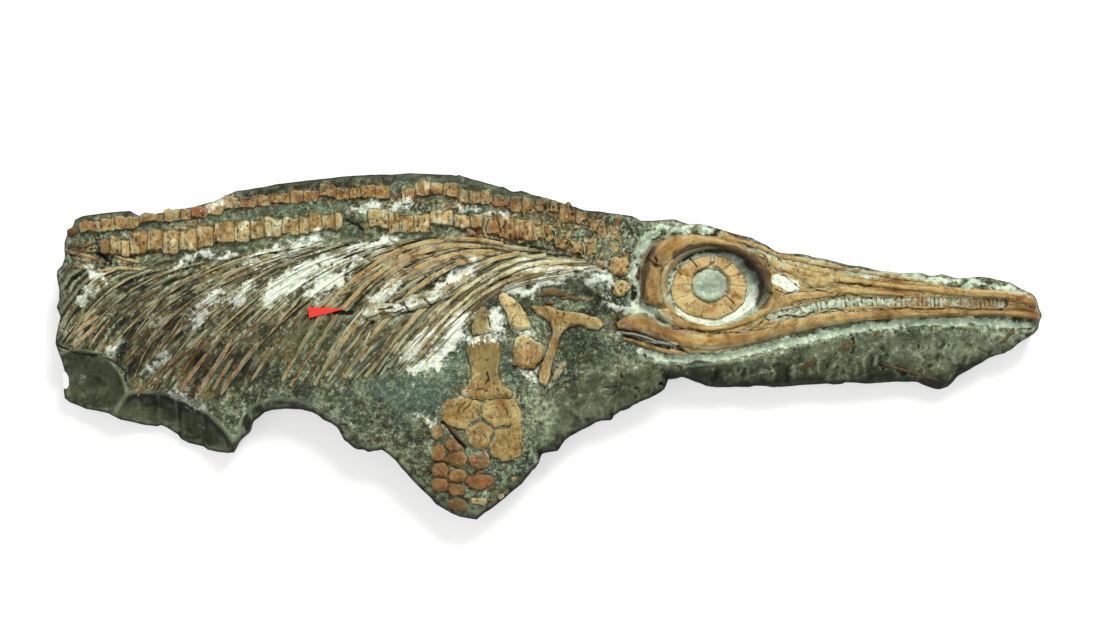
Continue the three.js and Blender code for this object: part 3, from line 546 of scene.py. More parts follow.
def fan_coordinates(x, y):
    """Across the fan in units of its lines, and along it in millimetres."""
    sides = np.stack([side_of(x, y, line) for line in FAN_LINES])
    past = np.clip((sides > 0).sum(axis=0), 1, len(FAN_LINES) - 1)
    before = np.take_along_axis(sides, past[None] - 1, 0)[0]
    after = np.take_along_axis(sides, past[None], 0)[0]
    gap = np.maximum(np.abs(before) + np.abs(after), 1.0)
    across = past - 1 + np.abs(before) / gap
    across = np.where(sides[0] < 0, sides[0] / FAN_PITCH, across)
    across = np.where(sides[-1] > 0, len(FAN_LINES) - 1 + sides[-1] / FAN_PITCH, across)
    return across, along_fan(x, y)


EYE_STRETCH = 1.2  # the eye is this much longer than high
EYE_TURN = (712, 287)  # the grain of the skull runs round this point
SNOUT_BLEND = (755, 800)  # and along here it turns to run down the snout
HEAD_HALVES = ([700, 800, 900, 1045], [58, 42, 27, 15])  # half the height of the head along x
SNOUT_AXIS = (700, 291, 0.062)  # a point of the snout's middle line, and how fast the line falls


def skull_coordinates(x, y):
    """Across and along the grain of the skull: round the eye, then converging on the snout."""
    dx, dy = (x - EYE_TURN[0]) / EYE_STRETCH, y - EYE_TURN[1]
    ring_across, ring_along = np.hypot(dx, dy), np.arctan2(dy, dx) * 50
    start, middle, fall = SNOUT_AXIS
    snout_across = (y - (middle + (x - start) * fall)) / np.interp(x, *HEAD_HALVES) * 30
    blend = ramp(x, *SNOUT_BLEND)
    across = ring_across * (1 - blend) + (snout_across + 45) * blend
    return across, ring_along * (1 - blend) + (x - start) * blend


# The ground between the ribs, and the skull.
RIB_ZONE = [
    (50, 262), (90, 268), (140, 264), (200, 254), (300, 242), (345, 238), (400, 240), (470, 234),
    (520, 238), (560, 250), (604, 264), (604, 274), (565, 280), (520, 290), (485, 305), (455, 340),
    (425, 368), (390, 378), (345, 384), (300, 388), (250, 394), (215, 402), (170, 397), (135, 395),
    (124, 366), (100, 352), (56, 342),
]
SKULL_ZONE = [
    (641, 300), (640, 270), (642, 255), (650, 245), (664, 239), (676, 234), (690, 234), (716, 236),
    (722, 229), (734, 236), (745, 240), (762, 245), (778, 254), (800, 258), (830, 263), (850, 268),
    (872, 271), (900, 276), (925, 279), (950, 287), (1000, 289), (1031, 291), (1038, 298), (1043, 314),
    (1040, 321), (1020, 317), (980, 315), (920, 317), (870, 321), (830, 326), (800, 333), (760, 342),
    (720, 353), (690, 354.5), (677, 345), (655, 339), (630, 331), (617, 328), (620, 318), (636, 313),
    (650, 318), (668, 327), (664, 312), (655, 306),
]
SKULL_START = 640
# The row of teeth: line, width; and how far apart they stand.
TOOTH_BAND = (
    [(768, 317), (785, 314), (805, 310), (830, 304), (860, 302), (900, 301.5), (950, 302.5), (1005, 303)],
    9.5,
)
TOOTH_PITCH = 3.9

# Ground that is full of small crushed bones: line, width.
RUBBLE = [
    ([(602, 222), (618, 236), (628, 250)], 28), ([(478, 224), (502, 227), (530, 232)], 24),
    ([(538, 230), (560, 243), (590, 252), (602, 266)], 17), ([(66, 250), (90, 257), (130, 264)], 21),
    ([(345, 214), (352, 222), (362, 230)], 14), ([(436, 217), (470, 221)], 12),
    ([(92, 244), (104, 250)], 14), ([(540, 213), (560, 226), (590, 240)], 9), ([(630, 262), (632, 290)], 8),
    ([(208, 205), (222, 199)], 8), ([(402, 200), (420, 200), (470, 204)], 6), ([(170, 223), (202, 222)], 9),
    ([(476, 496), (502, 500)], 9), ([(560, 294), (592, 298)], 6), ([(506, 396), (520, 402)], 4),
    ([(470, 396), (500, 399)], 6), ([(388, 204), (400, 199)], 8),
]
RUBBLE_CELL = 6.5
BONE_CHIPS, RED_CHIPS = 0.6, 0.08  # the shares of the bits that are bone, and red bone
# Where mud still hides the grain between the ribs: line, reach, amount.
FAN_BURIED = [
    ([(276, 382), (318, 362), (336, 348)], 24, 0.8), ([(352, 362), (404, 352)], 22, 0.6),
    ([(216, 330), (250, 340), (280, 346)], 16, 0.4),
]


def cells(x, y, size, seed):
    """A crazed net over the plan: depth inside a cell, and a random value for each cell."""
    rng = np.random.default_rng(seed)
    period = 64
    shift = rng.uniform(0.1, 0.9, (period, period, 2))
    value = rng.uniform(0, 1, (period, period))
    column, row = np.floor(x / size).astype(int), np.floor(y / size).astype(int)
    first, second = np.full(x.shape, 9.0), np.full(x.shape, 9.0)
    own = np.zeros(x.shape)
    for across in (-1, 0, 1):
        for down in (-1, 0, 1):
            c, r = (column + across) % period, (row + down) % period
            away = np.hypot(
                x / size - column - across - shift[r, c, 0], y / size - row - down - shift[r, c, 1]
            )
            second = np.minimum(second, np.maximum(away, first))
            own = np.where(away < first, value[r, c], own)
            first = np.minimum(first, away)
    return (second - first) * size / 2, own


# Films and stains over stone and bone alike: line, width. First the white crust that is left on both,
# then the fillings of the socket, the nose, the jaw's hinge and the cheek.
WHITE_FILMS = [
    ([(272, 298), (286, 287)], 14), ([(284, 284), (304, 272)], 22),
    ([(306, 270), (322, 262), (336, 254)], 9), ([(404, 354), (420, 343), (437, 333)], 8),
    ([(316, 290), (332, 278)], 14), ([(336, 273), (350, 260)], 6), ([(350, 272), (364, 262)], 5),
    ([(196, 322), (206, 309)], 8), ([(209, 299), (219, 290)], 6), ([(232, 300), (251, 286)], 8),
    ([(108, 350), (119, 339)], 7), ([(155, 364), (161, 356)], 5), ([(309, 245), (318, 236)], 8),
    ([(80, 300), (94, 291)], 4), ([(376, 300), (402, 282)], 8), ([(438, 290), (452, 276), (474, 266)], 12),
    ([(444, 352), (455, 336), (466, 320)], 14), ([(416, 371), (436, 358), (450, 346)], 13),
    ([(497, 311), (499, 327)], 9), ([(510, 289), (535, 286), (560, 282)], 8), ([(588, 284), (611, 280)], 9),
    ([(468, 341), (484, 335), (506, 339)], 3), ([(211, 205), (225, 202)], 6), ([(585, 268), (604, 272)], 5),
    ([(528, 372), (534, 384)], 4), ([(512, 333), (530, 333)], 3), ([(392, 207), (404, 202)], 7),
    ([(350, 206), (372, 204)], 4), ([(484, 212), (510, 213)], 3), ([(170, 266), (200, 258), (232, 254)], 3),
    ([(250, 262), (290, 249), (320, 246)], 4), ([(520, 265), (548, 267), (575, 274)], 3),
    ([(430, 300), (446, 296)], 4), ([(610, 300), (625, 307)], 4), ([(466, 207), (478, 208)], 4),
    ([(390, 240), (372, 246), (340, 256)], 4), ([(176, 396), (190, 402), (204, 409)], 2.4),
    ([(84, 268), (104, 282)], 5), ([(420, 415), (432, 425)], 4),
    ([(364, 318), (386, 311), (410, 305), (430, 299)], 2.6),
]
# The pale crust along the socket's lower wall, painted whiter as painted light where that wall faces the
# lamp.
SOCKET_CRUST_AND_LIGHT = ([(762, 284), (752, 300), (738, 313), (718, 322), (698, 321), (680, 312)], 9)
NASAL_FILL = ([(777, 280), (783, 283), (793, 287)], 13)
JAW_LINE = ([(618, 332.5), (629, 333.5), (641, 336), (652, 339.5), (661, 343), (677, 345.5)], 2.6)
CHEEK_FILL = ([(628, 311), (644, 308.5), (656, 313), (668, 323)], 9)
# The wall of the eye socket, in the shade of the brow, given painted shadow, and the same dark brown along
# the back of the skull: line, width.
SOCKET_SHADE = [
    ([(676, 256), (691, 250), (712, 247), (733, 250.5), (748, 259), (757, 268)], 9),
    ([(750, 260), (760, 270), (765, 282), (766, 293), (762, 303)], 13),
    ([(645, 298), (643, 280), (645, 262), (651, 250)], 8),
]
# Stone cut fresh and pale: the channel under the jaw, then the lesser cuts.
JAW_CUT = (
    [(640, 352), (665, 357), (690, 359.5), (745, 352.5), (800, 339.5), (855, 328), (910, 323), (970, 321),
     (1030, 324)], 7.4,
)
PALE_CUTS = [
    ([(666, 231), (647, 241), (638, 258), (635, 280), (634, 298), (646, 309), (664, 322)], 8),
    ([(674, 228), (696, 227), (716, 232)], 7),
    ([(742, 247), (762, 252), (780, 260), (805, 266), (832, 270)], 2.4),
    ([(840, 268), (870, 272), (905, 276), (935, 279), (975, 281), (1010, 286), (1030, 291)], 5),
    ([(668, 297), (677, 310), (692, 319), (714, 321), (738, 313), (752, 300)], 6),
    ([(474, 370), (470, 388), (458, 400), (445, 412), (440, 422)], 1.4),
    ([(756, 250), (775, 262), (790, 268)], 2), ([(708, 277), (711, 292)], 32),
    ([(440, 412), (432, 430), (430, 450)], 1.6),
]
# Open cracks and small holes, iron stains, and tints of the stone: line, width.
DARK_CRACKS = [
    ([(58, 345), (70, 351.5), (85, 354), (100, 355.6), (112, 360.6), (120, 366.5), (125, 373),
     (126, 382)], 2),
    ([(442, 422), (453, 434), (465, 447)], 3), ([(346, 220), (356, 225), (362, 230)], 4),
    ([(618, 330), (640, 333), (664, 340)], 1.4), ([(622, 335), (645, 341), (668, 348)], 2.4),
    ([(835, 282), (850, 285), (870, 287)], 1.3), ([(806, 288), (820, 291), (832, 293)], 1.2),
    ([(850, 332), (856, 345), (853, 352)], 2), ([(918, 342), (919, 350)], 1.4),
    ([(949, 342), (950, 350)], 1.2), ([(617, 368), (622, 378)], 1.3),
    ([(603, 386), (612, 388), (622, 387)], 1.3), ([(487, 373), (489, 378), (486, 384)], 1.5),
    ([(476, 390), (484, 389)], 1.2), ([(496, 389), (499, 391)], 1.2), ([(335, 312), (352, 313)], 5),
    ([(436, 280), (450, 283)], 2.4), ([(424, 262), (408, 272), (394, 284)], 1.4),
    ([(400, 256), (388, 262), (376, 271)], 1.6), ([(372, 262), (352, 276)], 1.4),
    ([(640, 300), (643, 285), (646, 272)], 2), ([(97, 254), (110, 262)], 4),
    ([(214, 222), (216, 244)], 1.2), ([(655, 258), (656, 262)], 3),
    ([(740, 243), (762, 255), (772, 270)], 1.2), ([(672, 329), (700, 333), (742, 332), (778, 326)], 1.2),
    ([(779, 318), (800, 315.5), (832, 311), (870, 309.5), (930, 308.5), (1004, 308)], 1.3),
    ([(793, 304), (820, 299.5), (850, 295), (872, 297.5)], 1.2),
    ([(368, 319), (388, 313), (404, 310)], 1.6), ([(398, 316), (420, 309), (440, 300)], 1.5),
    ([(404, 303), (410, 312)], 2), ([(424, 298), (430, 305)], 1.6), ([(380, 310), (392, 307)], 2),
    ([(690, 257), (697, 267)], 1.8), ([(727, 296), (734, 305)], 1.8),
    ([(772, 273), (786, 276), (801, 290), (786, 293), (777, 288)], 1.3),
]
RED_STAINS = [
    ([(1020, 291), (1035, 300), (1040, 312)], 9), ([(530, 350), (531, 358)], 9),
    ([(440, 447), (440, 459)], 4), ([(452, 456), (462, 460)], 6), ([(440, 470), (458, 475)], 5),
    ([(440, 484), (457, 490)], 5), ([(472, 481), (490, 481)], 10), ([(191, 212), (206, 211)], 10),
    ([(392, 200), (399, 200)], 6), ([(496, 204), (504, 200)], 6), ([(641, 292), (642, 266), (648, 252)], 6),
    ([(468, 230), (520, 236)], 6),
]
GREEN_TINTS = [
    ([(64, 240), (100, 232), (130, 226), (150, 222), (200, 218), (230, 213), (300, 207), (345, 205)], 7),
    ([(350, 330), (390, 322), (436, 314)], 22), ([(350, 356), (392, 354)], 22),
    ([(380, 390), (440, 400)], 30), ([(545, 300), (560, 330)], 6), ([(940, 345), (960, 345)], 16),
    ([(400, 178), (450, 178)], 8), ([(190, 258), (250, 246)], 8), ([(470, 345), (440, 380)], 16),
    ([(80, 250), (72, 262)], 8), ([(214, 232), (222, 234)], 10), ([(506, 345), (509, 380)], 8),
]
OLIVE_TINTS = [
    ([(58, 360), (90, 380), (110, 400)], 40), ([(150, 410), (215, 435)], 34), ([(590, 380), (650, 380)], 34),
    ([(720, 372), (880, 366)], 24), ([(477, 345), (490, 365)], 26), ([(474, 306), (482, 330)], 18),
    ([(270, 355), (330, 330)], 20), ([(458, 504), (460, 505)], 14), ([(520, 480), (480, 508)], 12),
    ([(560, 316), (600, 326)], 4),
]
# Ground darkened with painted shade where it would lie in shadow, and ground that is damp, dirty or dark:
# line, reach, amount.
SHADE_AND_DIRT_LINES = [
    ([(80, 372), (104, 384)], 26, 0.5), ([(182, 412), (200, 428)], 20, 0.6),
    ([(150, 402), (162, 398), (176, 400)], 8, 0.85),
    ([(672, 375), (700, 380), (736, 383), (800, 382), (890, 379), (930, 381), (956, 378),
     (978, 366)], 10, 0.9),
    ([(540, 455), (561, 444), (580, 430), (602, 420), (614, 414), (640, 401), (664, 388),
     (668, 378)], 8, 0.75),
    ([(396, 462), (421, 489), (443, 508), (476, 519), (505, 497), (531, 471)], 5, 0.6),
    ([(262, 411), (300, 409), (331, 422), (344, 439), (367, 451), (384, 450)], 6, 0.6),
    ([(150, 425), (174, 434), (204, 449), (228, 452)], 5, 0.6),
    ([(61, 398), (95, 410), (130, 421)], 5, 0.5), ([(360, 318), (400, 308), (440, 300)], 16, 0.25),
    ([(345, 350), (400, 350)], 16, 0.26), ([(744, 262), (756, 274), (760, 292)], 9, 0.7),
    ([(706, 283), (716, 286)], 12, 0.4), ([(652, 302), (649, 266), (658, 252)], 9, 0.5),
    ([(450, 405), (475, 420)], 14, 0.25), ([(670, 244), (712, 238)], 10, 0.1),
    ([(400, 420), (430, 460)], 18, 0.42), ([(506, 452), (516, 492)], 14, 0.3),
    ([(345, 400), (420, 420)], 22, 0.25), ([(585, 362), (602, 392)], 22, 0.28),
    ([(250, 392), (310, 396)], 10, 0.42), ([(600, 392), (650, 384)], 15, 0.44),
    ([(82, 296), (108, 314)], 9, 0.2), ([(140, 345), (190, 362)], 22, 0.58),
    ([(850, 318), (940, 314), (1000, 313)], 4, 0.25), ([(582, 288), (598, 306)], 14, 0.72),
    ([(568, 282), (582, 286)], 6, 0.6), ([(456, 264), (468, 267)], 5, 0.85),
    ([(480, 266), (492, 267)], 5, 0.8), ([(347, 220), (362, 230)], 6, 0.7),
    ([(557, 392), (556, 446)], 9, 0.5), ([(630, 398), (664, 386)], 9, 0.5),
    ([(576, 392), (630, 396)], 14, 0.25), ([(262, 409), (300, 405), (336, 420)], 7, 0.5),
    ([(538, 448), (556, 444)], 9, 0.5), ([(672, 367), (712, 366)], 6, 0.5),
    ([(568, 338), (600, 352)], 20, 0.5), ([(130, 340), (200, 312)], 20, 0.35),
    ([(200, 366), (250, 372)], 22, 0.68), ([(724, 248), (752, 254)], 6, 0.3),
    ([(246, 191), (300, 182), (350, 177), (400, 175), (450, 176), (490, 186), (540, 198),
     (600, 213)], 8, 0.75),
    ([(78, 218), (104, 214), (132, 212)], 6, 0.65), ([(622, 320), (652, 323), (676, 333)], 7, 0.5),
    ([(652, 254), (650, 280), (652, 304)], 8, 0.45), ([(436, 412), (440, 440)], 8, 0.3),
    ([(404, 454), (440, 494), (474, 512)], 12, 0.25), ([(352, 438), (392, 446)], 12, 0.3),
    ([(230, 300), (300, 320), (350, 330)], 14, 0.22), ([(60, 300), (58, 340)], 8, 0.3),
    ([(100, 250), (98, 262)], 7, 0.4), ([(960, 300), (1010, 302), (1040, 314)], 6, 0.3),
    ([(860, 376), (900, 374), (944, 384)], 6, 0.35), ([(545, 302), (560, 330)], 6, 0.3),
]
# Ground dusted with pale stone, and in places lightened with painted light: line, reach, amount.
DUST_AND_LIGHT_LINES = [
    ([(534, 394), (548, 420)], 13, 0.5), ([(592, 372), (640, 364)], 5, 0.3),
    ([(575, 400), (598, 392)], 5, 0.25), ([(520, 330), (512, 342)], 8, 0.4),
    ([(416, 376), (440, 372)], 12, 0.25), ([(345, 400), (400, 420)], 26, 0.12),
    ([(600, 240), (640, 250)], 14, 0.12), ([(110, 296), (180, 285)], 12, 0.15),
    ([(180, 300), (230, 285)], 12, 0.3), ([(262, 300), (340, 266)], 18, 0.6),
    ([(240, 262), (330, 244)], 9, 0.4), ([(140, 275), (220, 262)], 8, 0.3),
    ([(900, 350), (940, 347), (1000, 340)], 14, 0.26), ([(792, 325), (846, 320)], 5, 0.3),
    ([(800, 281), (868, 284)], 8, 0.3), ([(474, 388), (502, 388)], 8, 0.2),
    ([(488, 412), (512, 414)], 10, 0.25), ([(860, 340), (900, 336)], 10, 0.15),
    ([(560, 270), (600, 278)], 12, 0.4), ([(480, 425), (480, 440)], 26, 0.15),
    ([(440, 285), (460, 275)], 10, 0.4), ([(1010, 336), (1030, 330)], 8, 0.4),
    ([(400, 296), (440, 290)], 10, 0.3), ([(720, 352), (800, 340)], 4, 0.2),
    ([(660, 224), (700, 226)], 6, 0.35), ([(168, 226), (205, 224)], 5, 0.4),
    ([(990, 332), (1020, 338)], 8, 0.5), ([(780, 256), (850, 268), (920, 276)], 3.5, 0.35),
    ([(684, 286), (688, 300), (700, 310)], 5, 0.35), ([(380, 345), (420, 325)], 14, 0.2),
]
# Bone that is stained a deeper orange brown: line, reach, amount.
WARM_LINES = [
    ([(620, 322), (650, 328), (680, 340)], 14, 0.9), ([(646, 296), (648, 262), (662, 246)], 9, 0.7),
    ([(656, 300), (658, 282)], 8, 0.8), ([(690, 236), (716, 234), (736, 240)], 12, 0.35),
    ([(700, 346), (760, 339), (820, 327)], 5, 0.25), ([(860, 316), (930, 313), (1000, 312)], 6, 0.45),
    ([(900, 292), (960, 292), (1036, 298)], 8, 0.42), ([(690, 262), (706, 257), (718, 258)], 7, 0.3),
    ([(724, 311), (738, 302)], 6, 0.3), ([(720, 226), (736, 234)], 8, 0.7),
    ([(745, 240), (775, 262)], 7, 0.4), ([(1020, 296), (1040, 312)], 9, 0.8),
    ([(720, 231), (736, 238), (744, 244)], 6, 0.8), ([(560, 316), (604, 326)], 8, 0.5),
    ([(552, 330), (545, 370)], 8, 0.5), ([(524, 348), (536, 360)], 9, 0.5),
    ([(470, 392), (492, 388)], 12, 0.3), ([(168, 222), (204, 222)], 8, 0.9),
    ([(440, 440), (440, 500)], 14, 0.3), ([(460, 455), (484, 482)], 12, 0.3),
    ([(445, 412), (460, 402)], 12, 0.4), ([(610, 262), (630, 266)], 12, 0.6),
    ([(240, 200), (330, 192)], 9, 0.7), ([(350, 190), (390, 190)], 9, 0.8),
    ([(75, 226), (135, 220)], 9, 0.7), ([(135, 244), (160, 240)], 9, 0.4),
    ([(400, 196), (506, 198)], 9, 0.6), ([(506, 204), (600, 228)], 10, 0.7),
    ([(483, 226), (530, 232)], 12, 0.6), ([(197, 236), (212, 236)], 8, 0.5),
    ([(66, 340), (100, 318)], 9, 0.5), ([(210, 345), (186, 390)], 16, 0.7),
    ([(140, 340), (205, 300)], 18, 0.5), ([(240, 335), (290, 315)], 16, 0.45),
    ([(880, 304), (940, 305), (1004, 305)], 7, 0.9), ([(664, 244), (690, 238), (714, 240)], 12, 0.4),
    ([(1000, 343), (1014, 330)], 8, 0.8), ([(418, 255), (380, 280), (340, 310)], 14, 0.5),
    ([(470, 244), (430, 260), (390, 290)], 12, 0.35),
]
FIELD_REACH = 7.0
# How far the edges of films and of cracks wander, with the seed.
FILM_WAVER, CRACK_WAVER = (5.0, 60), (1.6, 66)
CRACK_DEPTH = 1.3


def field_of(x, y, lines):
    """A value to be cut at one half: over it inside the lines, falling with distance outside."""
    best = np.full(x.shape, -1e6)
    for line, width in lines:
        best = np.maximum(best, width / 2 - distance_to(x, y, line))
    return np.clip(0.5 + best / (2 * FIELD_REACH), 0, 1)


def haze_of(x, y, lines):
    """A soft patch about each line, as strong as its amount and fading over its reach."""
    haze = np.zeros(x.shape)
    for line, reach, amount in lines:
        haze = np.maximum(haze, amount * np.exp(-(distance_to(x, y, line) / reach) ** 2))
    return haze


def carry(mesh, **fields):
    """Stores values, or vectors, at the points of the mesh for its material to read by name."""
    for name, values in fields.items():
        if values.ndim == 1:
            layer = mesh.attributes.new(name, "FLOAT", "POINT")
            layer.data.foreach_set("value", values.astype(np.float32))
        else:
            layer = mesh.attributes.new(name, "FLOAT_VECTOR", "POINT")
            layer.data.foreach_set("vector", values.astype(np.float32).ravel())


def wavered(x, y, amount, seed):
    """Plan points pushed about, so that what is drawn at them has a natural edge."""
    push = [
        amount * (flat_lumps(x, y, 17, seed + k, 2) + 0.6 * flat_lumps(x, y, 6, seed + 2 + k, 2))
        for k in (0, 1)
    ]
    return x + push[0], y + push[1]


def crack_field(x, y):
    """The open cracks, with ragged edges."""
    return field_of(*wavered(x, y, *CRACK_WAVER), DARK_CRACKS)


def carry_films(mesh, x, y, shown=1.0):
    """The films, stains, dirt, painted shade and painted light, which lie over stone and bone alike, where
    they are shown.
    """
    wavy = wavered(x, y, *FILM_WAVER)
    fills = field_of(*wavered(x, y, 1.0, 60), [SOCKET_CRUST_AND_LIGHT, NASAL_FILL, JAW_LINE])
    crust = np.clip(0.5 + 7 * (fills - 0.5), 0, 1.6)
    orbit = 0.5 + 3.0 * (1.0 - oval_share(x, y, OPENING, OPENING_RIM))
    clean = np.maximum(orbit, field_of(*wavered(x, y, 1.5, 60), [JAW_CUT, CHEEK_FILL]) * 1.6 - 0.3)
    carry(
        mesh,
        white=np.maximum(field_of(*wavy, WHITE_FILMS), crust) * shown,
        shade=field_of(*wavered(x, y, 1.6, 68), SOCKET_SHADE),
        pale=np.maximum(field_of(*wavy, PALE_CUTS), np.clip(clean, 0, 1.2)) * shown,
        dark=crack_field(x, y) * shown,
        red=field_of(*wavy, RED_STAINS) * shown,
        green=field_of(*wavy, GREEN_TINTS),
        olive=field_of(*wavy, OLIVE_TINTS),
        dim=haze_of(*wavy, SHADE_AND_DIRT_LINES),
        lit=haze_of(*wavy, DUST_AND_LIGHT_LINES) * shown,
        warm=haze_of(*wavy, WARM_LINES) * shown,
    )


FACET_SIZE, FACET_STEP = 38, 5.0  # facets of the broken stone: how wide, and how far they step
NO_BONE = 500.0  # stands for the top of a bone where there is none
BONE_BED = 2.4  # the stone stays this far under the top of the bone that lies on it


def rock_relief(x, y, broken):
    """Roughness of the bare stone: soft lumps on the bed, facets and creases where it is broken."""
    rock = 1.1 * flat_lumps(x, y, 38, 1, 4) + 0.8 * flat_lumps(x, y, 9, 2)
    crease = 1 - np.abs(flat_lumps(x, y, 26, 3)) * 2.2
    facet_depth, facet = cells(*wavered(x, y, 9.0, 4), FACET_SIZE, 5)
    rock = rock * (0.6 - 0.3 * broken) + broken * 1.6 * np.clip(crease, 0, 1)
    rock = rock + broken * FACET_STEP * (facet - 0.5) * ramp(facet_depth, 0, 9)
    calm = np.ones(x.shape)
    for shell in SHELL_BREAKS:
        calm = np.minimum(calm, 0.15 + 0.85 * ramp(shell_reach(x, y, shell), 0.95, 1.1))
    return rock * calm


def rubble_relief(x, y, intact):
    """Crushed bones in the mud: how far the bits stand up, which are bone, and which are red."""
    px, py = wavered(x, y, 4.5, 70)
    depth, own = cells(
        px + 0.8 * flat_lumps(x, y, 4, 76, 1), py + 0.8 * flat_lumps(x, y, 4, 77, 1), RUBBLE_CELL, 71
    )
    littered = ramp(field_of(*wavered(x, y, 6.0, 72), RUBBLE), 0.4, 0.6) * intact
    rise = littered * (1.8 * own * ramp(depth, -0.5, 2.6) - 0.3 * ramp(depth, 0.7, 0.0))
    chips = littered * (own < BONE_CHIPS) * (0.3 + 0.4 * ramp(depth, 0.0, 1.6))
    return rise, chips, (own < RED_CHIPS) * littered


def slab_height(x, y):
    """Height of the slab's upper side, with what its colours come from: a dict of fields."""
    level = broken_level(x, y)
    fallen = level - face_level(x, y)
    intact = ramp(fallen, -6, -1)
    fan = ramp(depth_inside(x, y, RIB_ZONE), -5, 6) * intact * (1 - haze_of(x, y, FAN_BURIED))
    skull = ramp(depth_inside(x, y, SKULL_ZONE), -1.5, 2.5)
    band = ramp(TOOTH_BAND[1] / 2 - distance_to(x, y, TOOTH_BAND[0]), -1, 1.5)
    orbit = ramp(oval_share(x, y, ORBIT, ORBIT_RIM), 1.08, 0.96)
    level = level + rock_relief(x, y, 1 - intact) * (1 - 0.9 * orbit)

    across, along = fan_coordinates(x, y)
    across = across * FAN_PITCH
    grain = flat_lumps(across, along / 9, 3.6, 5)
    coarse = flat_lumps(across, along / 7, 9, 6, 2)
    level = level + fan * (1.7 * grain + 1.1 * coarse + 0.4)
    rise, chips, redness = rubble_relief(x, y, intact)
    level = level + rise

    flat = np.zeros(x.shape)
    skull_across, skull_along = skull_coordinates(x, y)
    skull_grain = flat_lumps(skull_across, skull_along / 10, 3.2, 8)
    skull_ground = skull * (1 - band) * (1 - orbit)
    level = level + skull_ground * (2.6 + 1.1 * skull_grain) * intact
    bite = np.sin((x + 1.2 * flat_lumps(x, flat, 9, 78, 2)) * 2 * math.pi / TOOTH_PITCH)
    level = level + band * 1.2 * (1 + 0.35 * bite * ramp(flat_lumps(x, flat, 22, 79, 2), -0.6, 0.3)) * intact

    white = ramp(field_of(*wavered(x, y, *FILM_WAVER), WHITE_FILMS), 0.45, 0.65)
    level = level + white * (0.5 + 0.5 * flat_lumps(x, y, 5, 9, 2)) * (1 - orbit)
    level = level - CRACK_DEPTH * ramp(crack_field(x, y), 0.46, 0.6)

    cover = sample(bone_cover, x, y)
    groove = np.clip(sample(near_bone, x, y) * 2 - 0.15, 0, 1) * (1 - cover)
    level = level - 1.3 * groove * (0.6 + 0.4 * flat_lumps(x, y, 12, 10, 2)) * (1 - 0.6 * skull_ground)
    under = sample(np.where(bone_cover > 0, bone_top, NO_BONE), x, y) - BONE_BED
    level = np.where(cover > 0.6, np.minimum(level, under), level)

    filled = ramp(oval_share(x, y, OPENING, OPENING_RIM), 1.04, 0.98)
    skull_shown = skull * (1 - band) * (1 - filled)
    at_skull = x > SKULL_START
    flow = [np.where(at_skull, skull_across, across), np.where(at_skull, skull_along, along), flat]
    return {
        "level": level, "bone": np.maximum(chips, 0.5 * (1 + 0.9 * (2 * skull_shown - 1))),
        "redness": redness, "fan": fan, "flow": np.stack(flow, axis=1) * MM, "band": band,
        "broken": 1 - ramp(fallen, -2.4, -0.2),
    }


# One grid over the whole plan, closer over the body than over the snout, then rings down the sides.
SLAB_COLUMNS, SLAB_ROWS = 540, 158
COLUMN_SPREAD = ([0, 0.64, 1], [0, 0.585, 1])  # shares of the columns, and of the plan they cover
# The rings: share of the height at the edge, and how far in they lie.
SIDE_RINGS = [(0.9, 0.6), (0.74, 0.2), (0.56, 0.0), (0.4, 0.5), (0.24, 1.2), (0.1, 3.0), (0.0, 5.0)]
LOWEST_EDGE = 5.0  # the least height of the face where its edge has crumbled
INWARD = (0.998, 0.99)  # a small step towards the middle of the grid


def place_along(line, share):
    """The plan places a share of the way along a line."""
    points = np.array(line, float)
    run = np.concatenate([[0], np.cumsum(np.hypot(*np.diff(points, axis=0).T))])
    return np.array([np.interp(share * run[-1], run, points[:, k]) for k in (0, 1)])


def plan_of_share(u, v):
    """Plan places of grid shares: u from tail to snout, v from belly to back, as a Coons patch."""
    column = np.interp(u, *COLUMN_SPREAD)

    def on_edge(edge, share):
        xs, ys = np.array(edge).T
        x = xs[0] + (xs[-1] - xs[0]) * share
        return x, np.interp(x, xs, ys)

    top, bottom = on_edge(BACK_EDGE, column), on_edge(BELLY_EDGE, column)
    left, right = place_along(TAIL_EDGE, 1 - v), place_along(SNOUT_EDGE, 1 - v)
    plan = []
    for k in (0, 1):
        corners = [BELLY_EDGE[0][k], BELLY_EDGE[-1][k], BACK_EDGE[0][k], BACK_EDGE[-1][k]]
        flat = (1 - v) * ((1 - column) * corners[0] + column * corners[1])
        flat = flat + v * ((1 - column) * corners[2] + column * corners[3])
        ruled = (1 - v) * bottom[k] + v * top[k] + (1 - column) * left[k] + column * right[k]
        plan.append(ruled - flat)
    return plan


def slab_shell():
    """The bare slab as a unit square of points, with how many lie on its face and on each ring."""
    bm = bmesh.new()
    bmesh.ops.create_grid(bm, x_segments=SLAB_COLUMNS, y_segments=SLAB_ROWS, size=0.5)
    face_count = len(bm.verts)
    rim = [e for e in bm.edges if e.is_boundary]
    rim_count = len(rim)
    for _ in SIDE_RINGS:
        grown = bmesh.ops.extrude_edge_only(bm, edges=rim)["geom"]
        rim = [e for e in grown if isinstance(e, bmesh.types.BMEdge) and e.is_boundary]
    bmesh.ops.contextual_create(bm, geom=rim)
    return bm, face_count, rim_count


def outward(share, x, y):
    """The way out of the slab over the plan, at each point of the grid or its border."""
    inner_x, inner_y = plan_of_share(*(0.5 + (share - 0.5) * INWARD).T)
    away = np.hypot(x - inner_x, y - inner_y) + 1e-9
    return (x - inner_x) / away, (y - inner_y) / away


def crumbled(level, x, y, rim_depth):
    """The face with its edges broken away, deeper and wider at some places than at others."""
    chips = 0.5 + 0.5 * flat_lumps(x, y, 14, 21)
    drop = (3.0 + 7.5 * chips) * np.exp(-rim_depth / (1.6 + 2.6 * chips))
    return np.maximum(level - drop, LOWEST_EDGE)


